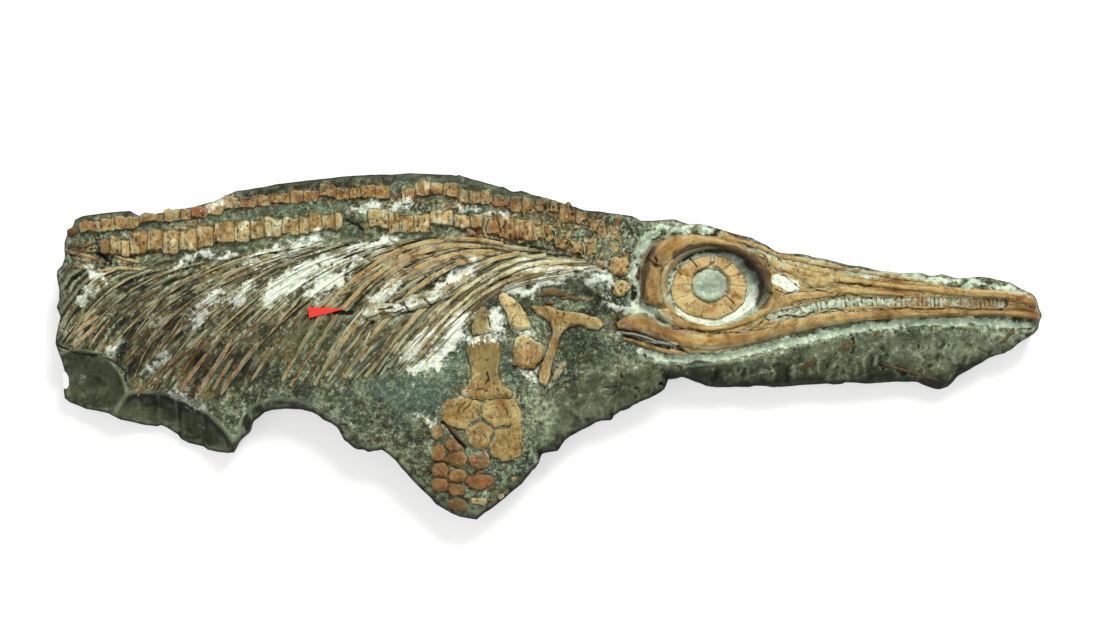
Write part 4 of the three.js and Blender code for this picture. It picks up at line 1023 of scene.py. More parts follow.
def hollows_of(face_z):
    """How far each point of the face lies under the ground about it."""
    grid = face_z.reshape(SLAB_ROWS + 1, SLAB_COLUMNS + 1)
    wide = grid
    for _ in range(3):
        padded = np.pad(wide, 1, mode="edge")
        wide = (padded[:-2, 1:-1] + padded[2:, 1:-1] + padded[1:-1, :-2] + padded[1:-1, 2:] + wide) / 5
    return (wide - grid).ravel()


def plan_mesh(bm, name, x, y, z):
    """The finished mesh of a bmesh, its points set at plan places and heights."""
    for vert, *place in zip(bm.verts, x, y, z):
        vert.co = from_plan(*place)
    bmesh.ops.recalc_face_normals(bm, faces=bm.faces)
    return mesh_of(bm, name)


def build_slab():
    """The slab as one mesh: a grid for the face, rings down the broken sides and a flat foot."""
    bm, face_count, rim_count = slab_shell()
    share = np.array([v.co[:2] for v in bm.verts]) + 0.5
    ring = np.zeros(len(share), int)
    ring[face_count:] = 1 + (np.arange(len(share) - face_count) // rim_count)
    ring_share, ring_inset = np.array([(1.0, 0.0)] + SIDE_RINGS)[ring].T
    side = ring > 0
    x, y = plan_of_share(*share.T)
    out_x, out_y = outward(share, x, y)
    outline = BACK_EDGE + SNOUT_EDGE[1:] + BELLY_EDGE[::-1][1:] + TAIL_EDGE[::-1][1:]
    rim_depth = distance_to(x, y, outline)

    fields = slab_height(x, y)
    z = crumbled(fields["level"], x, y, rim_depth) * ring_share
    rough = 2.6 * lumps(x, y, z, 30, 22, 2) + 1.5 * lumps(x, y, z, 9, 23)
    jut = np.where(side, rough * np.minimum(1, 1.3 * ring_share + 0.1) - 1.0 - ring_inset, 0)
    x, y = x + out_x * jut, y + out_y * jut
    mesh = plan_mesh(bm, "stone_slab_weathered", x, y, z)

    # How far each point of the face lies in a hollow, which the stone's material darkens as painted shade.
    hollow = np.full(len(z), 0.5)
    hollow[:face_count] = np.clip(0.5 + hollows_of(z[:face_count]), 0, 1)
    # The films and bone bits of the face fade out down the sides.
    shown = np.where(side, ramp(ring_share, 0.6, 0.9), 1.0)
    carry(mesh, **{name: fields[name] * shown for name in ("bone", "redness", "fan", "band", "broken")})
    # Painted shade down the broken sides and round the rim of the face, darker on the sides turned from the
    # lamp.
    edge = np.where(side, 1.0, ramp(rim_depth, 4.0, 0.5)) * (0.5 + 0.4 * np.clip(out_y, 0, 1))
    carry(mesh, flow=fields["flow"], hollow=hollow, side=edge)
    carry_films(mesh, x, y, shown)
    return mesh


# Colours of the stone.
MUD_DARK = srgb(44, 52, 36)
MUD = srgb(73, 83, 59)
MUD_LIGHT = srgb(116, 129, 98)
MUD_PALE = srgb(178, 190, 158)
MUD_BROWN = srgb(98, 88, 56)
MUD_RUST = srgb(104, 72, 46)
OLIVE = srgb(84, 84, 50)
STONE_SHADE = srgb(54, 60, 44)
FAN_DARK = srgb(40, 42, 30)
FAN_TAN = srgb(108, 100, 66)
STONE_FACET = srgb(104, 112, 84)
TEAL = srgb(70, 98, 88)
SOOT = srgb(20, 22, 14)
# Painted shadow on the socket's wall; films on the stone, and stone cut fresh.
SHADE_BROWN = srgb(50, 32, 16)
WHITE_FILM = srgb(232, 238, 222)
GREY_FILM = srgb(182, 198, 176)
PALE_CUT = srgb(197, 212, 188)
PALE_CUT_DEEP = srgb(156, 175, 150)
# Bone and teeth.
BONE = srgb(152, 120, 62)
BONE_LIGHT = srgb(188, 162, 100)
BONE_DARK = srgb(94, 64, 28)
BONE_WARM = srgb(142, 96, 40)
BONE_RED = srgb(130, 76, 42)
CRACK = srgb(46, 36, 20)
CREAM = srgb(222, 222, 186)
TOOTH_GREY = srgb(128, 138, 112)
TOOTH_PALE = srgb(204, 218, 192)


def film(paint, name, noise, wander, soft=0.045):
    """The mask of a film: its field cut at one half, with the edge pushed about by noise."""
    return paint.step(paint.field(name) + (noise - 0.5) * wander, 0.5 - soft, 0.5 + soft)


def stone_colour(paint, broad, middle, fine, speck):
    """Mudstone: olive and blue-green clouds, pale flecks and dark pits of several sizes."""
    hue = paint.noise(paint.place(), 27, 3, 0.6, 0.8)
    colour = paint.washes(MUD_DARK, [
        (broad, 0.4, 0.58, 1, MUD), (hue, 0.52, 0.62, 0.45, MUD_BROWN), (hue, 0.48, 0.38, 0.3, TEAL),
        (middle, 0.5, 0.62, 0.7, MUD_LIGHT), (middle, 0.46, 0.36, 0.6, MUD_DARK),
        (fine, 0.53, 0.66, 0.45, MUD_PALE), (fine, 0.46, 0.36, 0.55, SOOT),
    ])
    squiggle = paint.noise(paint.place(), 105, 2, 0.5, 1.6) - 0.5
    vein = paint.step(squiggle * squiggle, 0.0016, 0.0)
    return paint.washes(colour, [
        (middle, 0.42, 0.54, vein * 0.45, MUD_PALE),
        (speck, 0.6, 0.68, 0.35, MUD_PALE), (speck, 0.42, 0.34, 0.5, SOOT),
    ])


def bone_bit_colour(paint, middle, fine, speck, streak):
    """Iron-stained bone: ochre with lighter and darker grain and a net of fine cracks."""
    colour = paint.washes(BONE, [(middle, 0.38, 0.66, 1, BONE_LIGHT)])
    colour = paint.mix(paint.field("redness") * 0.85, colour, BONE_RED)
    colour = paint.washes(colour, [
        (streak, 0.5, 0.66, 0.8, BONE_DARK), (streak, 0.46, 0.36, 0.5, BONE_LIGHT),
        (fine, 0.56, 0.72, 0.4, GREY_FILM), (speck, 0.4, 0.33, 0.8, CRACK),
    ])
    return paint.mix(paint.field("warm") * 0.7, colour, BONE_WARM)


def slab_material():
    """Mudstone, darker and combed between the ribs, with bits of bone, teeth, films and dirt on it, and
    painted shade and light.
    """
    paint = Paint("mudstone")
    place = paint.place()
    broad = paint.noise(place, 16, 4, 0.6)
    middle = paint.noise(place, 60, 4, 0.65, 0.8)
    fine = paint.noise(place, 215, 3, 0.62, 0.4)
    speck = paint.noise(place, 640, 2, 0.6)
    streak = paint.noise(paint.flow(0.1), 330, 3, 0.65)
    lode = paint.noise(paint.flow(0.09, 0.7), 330, 3, 0.6) * 0.65 + fine * 0.35
    strands = paint.noise(paint.flow(0.07, 0.3), 520, 3, 0.6)
    fan = paint.field("fan")

    colour = stone_colour(paint, broad, middle, fine, speck)
    colour = paint.mix(film(paint, "olive", middle, 0.9, 0.3) * 0.4, colour, OLIVE)
    colour = paint.mix(film(paint, "green", middle, 1.4, 0.3) * 0.35, colour, TEAL)
    colour = paint.mix(paint.field("warm") * 0.4, colour, MUD_RUST)
    facets = paint.washes(STONE_SHADE, [
        (middle * 0.5 + broad * 0.5, 0.38, 0.62, 1, STONE_FACET), (fine, 0.58, 0.68, 0.4, MUD_LIGHT),
    ])
    colour = paint.mix(paint.field("broken") * 0.9, colour, facets)
    combed = paint.washes(FAN_DARK, [(strands, 0.42, 0.56, 1, FAN_TAN), (strands, 0.57, 0.66, 0.7, MUD_PALE)])
    ochre = paint.washes(BONE_DARK, [(fine, 0.4, 0.6, 1, BONE)])
    # Pale dust with painted light in places, then the combed ground, ochre and pale grain between the ribs.
    colour = paint.washes(colour, [
        (fine, 0.3, 0.62, paint.field("lit"), MUD_PALE), (middle, 0.3, 0.5, fan * 0.75, combed),
        (streak, 0.53, 0.62, fan * 0.45, ochre), (lode, 0.53, 0.6, fan * 0.6, MUD_PALE),
        (streak, 0.48, 0.41, fan * 0.85, SOOT),
    ])
    bits = bone_bit_colour(paint, middle, fine, speck, streak)
    colour = paint.mix(film(paint, "bone", fine * 0.6 + middle * 0.4, 1.3, 0.1) * 0.9, colour, bits)
    teeth = paint.washes(TOOTH_GREY, [
        (fine, 0.38, 0.58, 1, TOOTH_PALE), (middle, 0.3, 0.6, paint.field("warm"), BONE_WARM),
        (broad * 0.6 + middle * 0.4, 0.5, 0.62, 0.35, BONE_DARK),
    ])
    colour = paint.mix(paint.field("band") * 0.85, colour, teeth)

    ragged = fine * 0.5 + lode * 0.5
    colour = paint.mix(film(paint, "red", ragged, 1.6, 0.12) * 0.6, colour, BONE_RED)
    pale = film(paint, "pale", ragged, 1.3, 0.14)
    chalk = paint.washes(PALE_CUT_DEEP, [
        (middle * 0.6 + fine * 0.4, 0.42, 0.6, 1, PALE_CUT), (fine, 0.56, 0.66, 0.5, WHITE_FILM),
    ])
    colour = paint.mix(pale * 0.95, colour, chalk)
    colour = paint.washes(colour, [(paint.field("white"), 0.4, 0.62, 0.5, GREY_FILM)])
    white = film(paint, "white", middle * 0.4 + fine * 0.35 + lode * 0.25, 3.4, 0.3)
    crust = paint.washes(GREY_FILM, [(streak * 0.5 + fine * 0.5, 0.4, 0.52, 1, WHITE_FILM)])
    colour = paint.mix(white * 0.92, colour, crust)
    colour = paint.mix(film(paint, "dark", fine, 0.45) * 0.92, colour, SOOT)
    # Painted shadow on the socket's wall.
    colour = paint.mix(film(paint, "shade", middle, 0.5, 0.16) * 0.9, colour, SHADE_BROWN)
    # Painted shade in the hollows of the face where no film lies, and a paler tint on the crests.
    bare = (0.85 - pale * 0.8) * (1 - white * 0.85)
    hollow = paint.field("hollow")
    colour = paint.washes(colour, [(hollow, 0.54, 0.95, bare, SOOT), (hollow, 0.45, 0.1, 0.3, MUD_PALE)])
    # Painted shade, with dirt, over ground that would lie in shadow.
    colour = paint.mix(paint.field("dim"), colour, SOOT)
    # Painted shade down the sides and round the rim.
    colour = paint.mix(paint.field("side") * 0.8, colour, SOOT)
    paint.bump(fine * 0.7 + speck * 0.35 + streak * fan * 0.9 + middle * 0.8, 0.003, 0.85)
    return paint.finish(colour, 0.8 + (fine - 0.5) * 0.3, 0.12)


stone = new_piece("stone_slab_weathered", build_slab(), slab_material())
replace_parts(stone, "stone_slab")

# ---- The skull ----
# Thin plates and bars of fossil bone, dark ochre and fibrous, pressed flat on the bed: the brow and
# cheek round the eye socket, the upper jaw and snout over the long lower jaw, all held by the stone.

SEAT_MARGIN = 1.2  # a point of a bone this close over the stone belongs to its underside
ROOT_DEPTH = 3.6  # how far the underside is let into the stone


def neighbour_means(mesh, values, passes):
    """Values at the points of a mesh, averaged with their neighbours along its edges."""
    ends = np.empty(len(mesh.edges) * 2, np.int32)
    mesh.edges.foreach_get("vertices", ends)
    first, second = ends.reshape(-1, 2).T
    count = np.bincount(ends, minlength=len(values)) + 1
    for _ in range(passes):
        total = values + np.bincount(first, values[second], len(values))
        values = (total + np.bincount(second, values[first], len(values))) / count
    return values


def point_vectors(mesh, name):
    """The places or the normals of a mesh's points."""
    values = np.empty(len(mesh.vertices) * 3)
    mesh.vertices.foreach_get(name, values)
    return values.reshape(-1, 3)


def merged_solid(node):
    """A node's solid as a bmesh, its doubled points merged."""
    bm = bmesh.new()
    bm.from_mesh(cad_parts[node].data)
    bmesh.ops.remove_doubles(bm, verts=bm.verts, dist=0.00001)
    return bm


def dense_mesh(node, voxel):
    """A close, even mesh of a bone's solid, its underside let into the stone."""
    bm = merged_solid(node)
    points = np.array([v.co[:] for v in bm.verts]) / MM
    seat_level = broken_level(points[:, 0] + PLAN_CENTRE[0], PLAN_CENTRE[1] - points[:, 1])
    under = [v for v, z, seat in zip(bm.verts, points[:, 2], seat_level) if z < seat + SEAT_MARGIN]
    bmesh.ops.translate(bm, verts=under, vec=(0, 0, -ROOT_DEPTH * MM))
    mesh = mesh_of(bm, node + "_form")
    form = bpy.data.objects.new(mesh.name, mesh)
    bpy.context.scene.collection.objects.link(form)
    remesh = form.modifiers.new("even", "REMESH")
    remesh.mode = "VOXEL"
    remesh.voxel_size = voxel * MM
    smooth = form.modifiers.new("soft", "SMOOTH")
    smooth.factor = 0.5
    smooth.iterations = 2
    evaluated = form.evaluated_get(bpy.context.evaluated_depsgraph_get())
    dense = bpy.data.meshes.new_from_object(evaluated)
    dense.name = node + "_weathered"
    bpy.data.objects.remove(form)
    bpy.data.meshes.remove(mesh)
    return dense


def weathered_bone(
    node, material, slot, grain, relief, fibre, seed, voxel=0.9, fissures=0.5, spread=0.0, tone=None,
    shape=None, buried=None,
):
    """A bone's solid made into worn bone: fibrous, pitted and cracked, coloured by its material.

    shape takes the plan places and heights of the points and gives them back moved. tone gives the
    shade of the bone, and buried the share of it that mud still covers, at plan places.
    """
    mesh = dense_mesh(node, voxel)
    points, normals = point_vectors(mesh, "co"), point_vectors(mesh, "normal")
    x, y, z = points[:, 0] / MM + PLAN_CENTRE[0], PLAN_CENTRE[1] - points[:, 1] / MM, points[:, 2] / MM
    if shape is not None:
        x, y, z = shape(x, y, z)
    across, along = grain(x, y)
    fibres = flat_lumps(across, along / 9, fibre, seed)
    swell = lumps(x, y, z, 13, seed + 1, 2)
    pits = np.clip(lumps(x, y, z, 3.4, seed + 2, 2) - 0.45, 0, 1)
    fissure = 1 - ramp(np.abs(flat_lumps(across, along / 6, 7, seed + 3, 2)), 0.0, 0.12)
    fissure = fissure * ramp(flat_lumps(x, y, 16, seed + 4, 2), -0.1, 0.3) * fissures
    push = relief * (fibres + 0.9 * swell - 1.6 * pits - 1.3 * fissure)
    push = push - CRACK_DEPTH * ramp(crack_field(x, y), 0.46, 0.58)
    points = np.stack([x - PLAN_CENTRE[0], PLAN_CENTRE[1] - y, z], axis=1)
    points = (points + normals * push[:, None] + normals * (spread, spread, 0)) * MM
    mesh.vertices.foreach_set("co", points.ravel())
    z = points[:, 2] / MM
    # Hollow and side feed the material's painted shade; side also its worn edges.
    carry(
        mesh,
        hollow=np.clip(0.5 + neighbour_means(mesh, z, 3) - z, 0, 1),
        side=np.clip(1 - normals[:, 2], 0, 1),
        fissure=fissure,
        flow=np.stack([across, along, np.zeros(x.shape)], axis=1) * MM,
        tone=0.5 + 0.35 * flat_lumps(x, y, 24, seed + 5, 2) if tone is None else tone(x, y),
        matrix=np.full(x.shape, 0.15) if buried is None else np.clip(buried(x, y), 0, 1),
    )
    carry_films(mesh, x, y)
    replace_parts(new_piece(mesh.name, mesh, material), node)


def bone_material(
    name, base, light, shade, crust=0.3, streak_scale=420, film_amount=1.0, grained=0.6, rim=0.4, dimmed=0.6
):
    """Fossil bone: fibrous grain, crust of rock flour, dark fissures, dirt, and painted shade down the steep
    sides and in hollows.
    """
    paint = Paint(name)
    place = paint.place()
    middle = paint.noise(place, 75, 4, 0.65, 0.5)
    fine = paint.noise(place, 300, 4, 0.7)
    speck = paint.noise(place, 800, 2, 0.6)
    streak = paint.noise(paint.flow(0.12), streak_scale, 3, 0.65)
    tone = paint.field("tone")
    colour = paint.washes(base, [(middle + (tone - 0.5) * 0.5, 0.36, 0.66, 1, light)])
    colour = paint.mix(paint.field("warm") * 0.75, colour, BONE_WARM)
    colour = paint.washes(colour, [
        (tone, 0.2, 0.0, 0.7, BONE_RED), (middle, 0.46, 0.36, 0.5, shade),
        (streak, 0.5, 0.66, grained, shade), (streak, 0.46, 0.34, grained * 0.8, light),
        (fine, 0.54, 0.68, crust, GREY_FILM), (tone, 0.85, 1.15, 0.6, CREAM),
        (speck, 0.4, 0.32, 0.75, CRACK),
    ])
    colour = paint.mix(paint.field("fissure") * 0.7, colour, CRACK)
    ragged = fine * 0.6 + middle * 0.4
    colour = paint.mix(film(paint, "red", ragged, 1.6, 0.12) * 0.55, colour, BONE_RED)
    colour = paint.mix(film(paint, "olive", middle, 0.9, 0.3) * 0.5, colour, OLIVE)
    mud = paint.washes(MUD_DARK, [(fine, 0.4, 0.6, 1, MUD_LIGHT)])
    colour = paint.mix(film(paint, "matrix", ragged, 2.4, 0.12) * 0.85, colour, mud)
    # Pale dust, with painted light in places.
    colour = paint.washes(colour, [(fine, 0.4, 0.62, paint.field("lit") * 0.8, MUD_PALE)])
    pale = film(paint, "pale", ragged, 1.3, 0.14) * 0.5 * film_amount
    colour = paint.mix(pale, colour, GREY_FILM)
    white = film(paint, "white", streak * 0.5 + fine * 0.5, 3.0, 0.22) * 0.92 * film_amount
    colour = paint.mix(white, colour, WHITE_FILM)
    colour = paint.mix(film(paint, "dark", fine, 0.45) * 0.9, colour, SOOT)
    side = paint.field("side")
    worn_edge = paint.step(side, 0.06, 0.3) * paint.step(side, 0.6, 0.35) * rim
    # Pale wear on the edges, then painted shade down the steep sides and in the hollows.
    colour = paint.washes(colour, [
        (middle, 0.38, 0.56, worn_edge, GREY_FILM), (side, 0.45, 0.95, 0.65, CRACK),
        (paint.field("hollow"), 0.54, 0.8, 0.8 - white * 0.5, CRACK),
    ])
    # Painted shadow on the socket's wall.
    colour = paint.mix(film(paint, "shade", middle, 0.5, 0.16) * 0.8 * film_amount, colour, SHADE_BROWN)
    # Painted shade, with dirt, where the bone would lie in shadow.
    colour = paint.mix(paint.field("dim") * dimmed, colour, SOOT)
    paint.bump(fine * 0.6 + speck * 0.3 + streak * 0.8, 0.0018, 0.75)
    return paint.finish(colour, 0.7 + (fine - 0.5) * 0.4, 0.2)


SKULL_BONES = [
    "brow_arch", "jugal_bone", "snout_roof", "upper_jaw_front", "upper_jaw_cheek", "lower_jaw",
    "jaw_hinge_splint", "cheek_bone", "nasal_bone",
]
skull_bone = bone_material(
    "skull_bone", BONE, BONE_LIGHT, BONE_DARK, crust=0.14, streak_scale=300, grained=0.42, rim=0.25
)
for index, node in enumerate(SKULL_BONES):
    weathered_bone(
        node, skull_bone, "skull_bone", skull_coordinates, seed=40 + 6 * index, relief=0.38, fibre=3.4,
        fissures=0.35,
    )

# ---- The ring of eye plates ----
# Fourteen thin overlapping bony plates that stiffened the eyeball. They lie in the floor of the socket
# round the plug of pale stone that fills the pupil.

EYE_PLATES = 14
RING_SWELL = (1.07, 1.06)  # the plates reach out under the rim of the socket
RING_INNER = (21, 18)
INNER_PULL = (0.16, 0.06)  # and in over the pupil
SEAM_RADIUS, SEAM_WIDTH = 27, 0.8
EYE_NOTCH = [(714, 250), (712.5, 262), (709, 272)]
NOTCH_WIDTH, NOTCH_DEPTH = 2.1, 5.0
plate_rng = np.random.default_rng(14)
plate_edges = np.sort((np.arange(EYE_PLATES) + plate_rng.uniform(-0.25, 0.25, EYE_PLATES)) / EYE_PLATES)
plate_tones = plate_rng.uniform(0.3, 0.8, EYE_PLATES)
plate_seams = plate_rng.uniform(0.0, 0.6, EYE_PLATES)


def eye_coordinates(x, y):
    """Grain that runs from the pupil to the rim."""
    dx, dy = (x - PUPIL[0]) / EYE_STRETCH, y - PUPIL[1]
    return np.arctan2(dy, dx) * 30, np.hypot(dx, dy)


def round_the_eye(x, y):
    """Share of the way round the pupil, from 0 to 1."""
    return np.arctan2(y - PUPIL[1], (x - PUPIL[0]) / EYE_STRETCH) / (2 * math.pi) + 0.5


def eye_plate_shape(x, y, z):
    """The ring let out a little, its outline uneven, each plate's edge dropping under the next.

    One plate is split through, and the pale floor shows in the gap.
    """
    turn = round_the_eye(x, y)
    flat = np.zeros(x.shape)
    uneven = 1 + 0.05 * flat_lumps(turn * 60, flat, 6, 102, 2)
    gaps = np.abs(turn[:, None] - plate_edges) * 2 * math.pi * SEAM_RADIUS
    seam = np.max(plate_seams * np.exp(-(gaps / SEAM_WIDTH) ** 2), axis=1)
    reach = oval_share(x, y, PUPIL, RING_INNER)
    pull = ramp(reach, 1.5, 1.0) * (1 + 0.8 * flat_lumps(turn * 60, flat, 8, 104, 2))
    new_x = PUPIL[0] + (x - PUPIL[0]) * (RING_SWELL[0] * uneven - INNER_PULL[0] * pull)
    new_y = PUPIL[1] + (y - PUPIL[1]) * (RING_SWELL[1] * uneven - INNER_PULL[1] * pull)
    notch = NOTCH_DEPTH * np.exp(-(distance_to(new_x, new_y, EYE_NOTCH) / NOTCH_WIDTH) ** 4)
    return new_x, new_y, z - seam - notch + 0.6 * flat_lumps(x, y, 12, 103, 2)


def eye_plate_tone(x, y):
    return plate_tones[np.searchsorted(plate_edges, round_the_eye(x, y)) % EYE_PLATES]


eye_bone = bone_material(
    "eye_plate_bone", srgb(164, 128, 68), srgb(204, 178, 120), BONE_DARK, crust=0.4, film_amount=0.0,
    grained=0.25,
)
weathered_bone(
    "eye_plate_ring", eye_bone, "skull_bone", eye_coordinates, voxel=0.8, relief=0.35, fibre=6, seed=101,
    tone=eye_plate_tone, shape=eye_plate_shape, fissures=0.1,
)

# ---- The backbone and neck ----
# Short disc-shaped vertebrae end to end, with the spines of their arches in a second row behind them.
# The press of the rock has parted the rows; two neck vertebrae lie loose behind the skull.

# Each block of a row: left, right, back edge, belly edge, tone from 0, dark red, to 1, pale.
SPINES_REAR = [
    (75, 100, 220, 232, 0.5), (100, 113, 217, 231, 0.45), (114, 136, 216, 229, 0.4),
    (138, 163, 213, 223, 0.5), (163, 180, 208, 222, 0.6), (180, 190, 207, 222, 0.5),
    (191, 206, 206, 218, 0.05), (207, 222, 203, 217, 0.8), (224, 237, 195, 210, 0.4),
    (239, 255, 195, 208, 0.25), (257, 271, 193, 207, 0.3), (271, 289, 192, 204, 0.45),
    (289, 303, 189, 204, 0.35), (303, 318, 189, 203, 0.25), (318, 334, 183, 197, 0.3),
    (335, 349, 186, 200, 0.5), (349, 361, 187, 198, 0.3), (361, 375, 184, 198, 0.35),
    (375, 390, 184, 199, 0.3),
]
SPINES_FRONT = [
    (400, 414, 188, 204, 0.3), (415, 430, 181, 197, 0.9), (430, 443, 182, 195, 0.4),
    (443, 458, 182, 197, 0.35), (458, 469, 189, 204, 0.5), (469, 480, 189, 204, 0.45),
    (480, 492, 188, 205, 0.6), (492, 507, 192, 208, 0.15), (510, 522, 195, 212, 0.4),
    (522, 534, 195, 217, 0.4), (535, 549, 197, 212, 0.3), (550, 559, 200, 214, 0.5),
    (559, 572, 203, 222, 0.4), (576, 588, 210, 226, 0.5), (588, 597, 218, 233, 0.6),
    (597, 608, 220, 241, 0.4),
]
CENTRA_REAR = [
    (99, 110, 239, 255, 0.3), (110, 121, 236, 257, 0.5), (121, 130, 239, 258, 0.6),
    (130, 147, 231, 256, 0.4), (147, 163, 228, 252, 0.5), (163, 180, 229, 257, 0.75),
    (180, 197, 228, 252, 0.7), (197, 214, 224, 249, 0.5), (214, 234, 221, 244, 0.65),
    (235, 250, 220, 244, 0.8), (250, 265, 219, 241, 0.6), (265, 282, 217, 239, 0.95),
    (282, 299, 216, 237, 0.7), (299, 309, 215, 235, 0.6), (309, 321, 212, 233, 0.5),
    (321, 335, 212, 231, 0.4), (335, 344, 212, 231, 0.55),
]
CENTRA_FRONT = [
    (362, 388, 207, 229, 0.85), (388, 400, 211, 234, 0.5), (400, 414, 214, 234, 0.6),
    (414, 430, 212, 234, 0.7), (430, 451, 209, 226, 0.9), (453, 470, 214, 229, 0.8),
    (470, 483, 214, 229, 0.6), (483, 499, 213, 237, 0.3), (499, 516, 215, 241, 0.45),
    (516, 533, 217, 241, 0.55), (533, 545, 224, 240, 0.4), (545, 556, 226, 242, 0.5),
    (556, 571, 236, 251, 0.35), (571, 582, 239, 256, 0.4), (582, 592, 242, 259, 0.5),
    (592, 601, 249, 263, 0.4),
]
JOINT = 1.0  # how far a block's rounded end reaches
JOINT_DEPTH, JOINT_SQUEEZE = 1.6, 0.07
MUD_REACH = 1.6  # how far from a joint mud lies
BAR_STEPS = 80  # places along the plain bar at which its own width is read
NECK_START, NECK_END = 478, 512  # from here on the blocks that lie below the spines are more broken
BELOW_SPINES = 208


def block_row(node, blocks):
    """What draws a row of joined blocks out of the plain bar that stands for it: shape, tone, mud."""
    low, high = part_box(node)
    left, right = low[0] / MM + PLAN_CENTRE[0], high[0] / MM + PLAN_CENTRE[0]
    edges = np.array([block[0] for block in blocks] + [blocks[-1][1]])
    tones = np.array([block[4] for block in blocks])
    stations = [x for x0, x1, *_ in blocks for x in (x0 + JOINT, x1 - JOINT)]
    backs = [block[2] for block in blocks for _ in (0, 1)]
    bellies = [block[3] for block in blocks for _ in (0, 1)]

    def number_of(x):
        return np.clip(np.searchsorted(edges, x) - 1, 0, len(blocks) - 1)

    def near_joint(x, reach):
        return np.exp(-(np.min(np.abs(x[:, None] - edges), axis=1) / reach) ** 2)

    def shape(x, y, z):
        bins = np.clip(((x - left) / (right - left) * BAR_STEPS).astype(int), 0, BAR_STEPS - 1)
        own_back, own_belly = np.full(BAR_STEPS, np.nan), np.full(BAR_STEPS, np.nan)
        for k in range(BAR_STEPS):
            inside = y[bins == k]
            if len(inside):
                own_back[k], own_belly[k] = inside.min(), inside.max()
        at = left + (np.arange(BAR_STEPS) + 0.5) * (right - left) / BAR_STEPS
        known = ~np.isnan(own_back)
        back = np.interp(x, at[known], own_back[known])
        belly = np.interp(x, at[known], own_belly[known])
        share = np.clip((y - back) / np.maximum(belly - back, 1), 0, 1)
        joint = near_joint(x, 0.8 * JOINT)
        share = 0.5 + (share - 0.5) * (1 - JOINT_SQUEEZE * joint)
        new_y = np.interp(x, stations, backs) * (1 - share) + np.interp(x, stations, bellies) * share
        knobby = 1 + 1.3 * ramp(x, NECK_START, NECK_END) * (y > BELOW_SPINES)
        ragged = 1.35 * knobby * flat_lumps(x, y, 6, 131)
        tilt = 0.8 * np.sin(number_of(x) * 2.4) + 0.7 * flat_lumps(x, y, 6, 132, 2)
        pitted = 1.1 * knobby ** 2 * np.clip(flat_lumps(x, y, 4.5, 134, 2) - 0.3, 0, 1)
        return x + 0.7 * ragged, new_y + ragged, z - JOINT_DEPTH * joint + tilt - pitted

    def tone(x, y):
        return tones[number_of(x)] + 0.45 * flat_lumps(x, y, 6, 133)

    def mud(x, y):
        return 0.24 + 0.24 * flat_lumps(x, y, 18, 135) + 0.24 * near_joint(x, MUD_REACH)

    return {"shape": shape, "tone": tone, "buried": mud}


def tangled_grain(x, y):
    """Grain bent about, so that it runs no one way."""
    return x + 9 * flat_lumps(x, y, 18, 402, 2), (y + 9 * flat_lumps(x, y, 18, 403, 2)) * 3


back_bone = bone_material(
    "back_bone", srgb(138, 109, 58), srgb(180, 157, 101), srgb(88, 66, 34), crust=0.5, streak_scale=300
)
BACK_ROWS = {
    "backbone_rear": CENTRA_REAR, "backbone_front": CENTRA_FRONT,
    "neural_spines_rear": SPINES_REAR, "neural_spines_front": SPINES_FRONT,
}
for index, (node, blocks) in enumerate(BACK_ROWS.items()):
    weathered_bone(
        node, back_bone, "back_bone", tangled_grain, voxel=0.8, relief=0.9, fibre=4, seed=120 + 7 * index,
        fissures=0.2, **block_row(node, blocks),
    )
for index, node in enumerate(("neck_vertebra_first", "neck_vertebra_second")):
    weathered_bone(node, back_bone, "back_bone", tangled_grain, relief=1.2, fibre=4, seed=150 + 7 * index)

# ---- The ribs and belly bones ----
# Long thin ribs, swept back and crushed flat, ochre towards the shoulder and paler and broken towards
# the tail. A bundle of small broken belly bones lies over them.

# Name, colour, light and shaded colour, first and last rib, and how far the ribs are let out sideways.
RIB_FINISHES = [
    ("rib_bone_tail", srgb(108, 92, 54), srgb(160, 148, 102), srgb(54, 46, 28), 1, 11, 0.0),
    ("rib_bone_middle", srgb(142, 114, 62), srgb(180, 156, 100), srgb(76, 56, 28), 12, 16, 1.0),
    ("rib_bone_shoulder", srgb(152, 136, 86), srgb(206, 198, 150), srgb(88, 70, 38), 17, 20, 0.6),
]


def fan_grain(x, y):
    """Grain that follows the ribs."""
    across, along = fan_coordinates(x, y)
    return across * FAN_PITCH, along


def rib_mud(x, y):
    """The ribs run into the mud towards their lower ends."""
    return 0.2 + 0.32 * ramp(y - 0.2 * np.abs(x - 330), 305, 350) + 0.1 * flat_lumps(x, y, 18, 342, 2)


for name, base, light, shade, first, last, spread in RIB_FINISHES:
    rib_bone = bone_material(name, base, light, shade, crust=0.5, streak_scale=520, grained=0.75)
    for number in range(first, last + 1):
        tone_rng = np.random.default_rng(300 + number)
        level, wave = tone_rng.uniform(0.3, 0.8), tone_rng.uniform(0, 50)

        def rib_tone(x, y):
            return np.clip(level + 0.35 * lumps(x, y, np.full(x.shape, wave), 30, 7, 2), 0.1, 1)

        weathered_bone(
            f"rib_{number:02d}", rib_bone, "rib_bone", fan_grain, voxel=0.75, relief=0.42, fibre=1.8,
            seed=200 + 4 * number, tone=rib_tone, spread=spread, buried=rib_mud,
        )

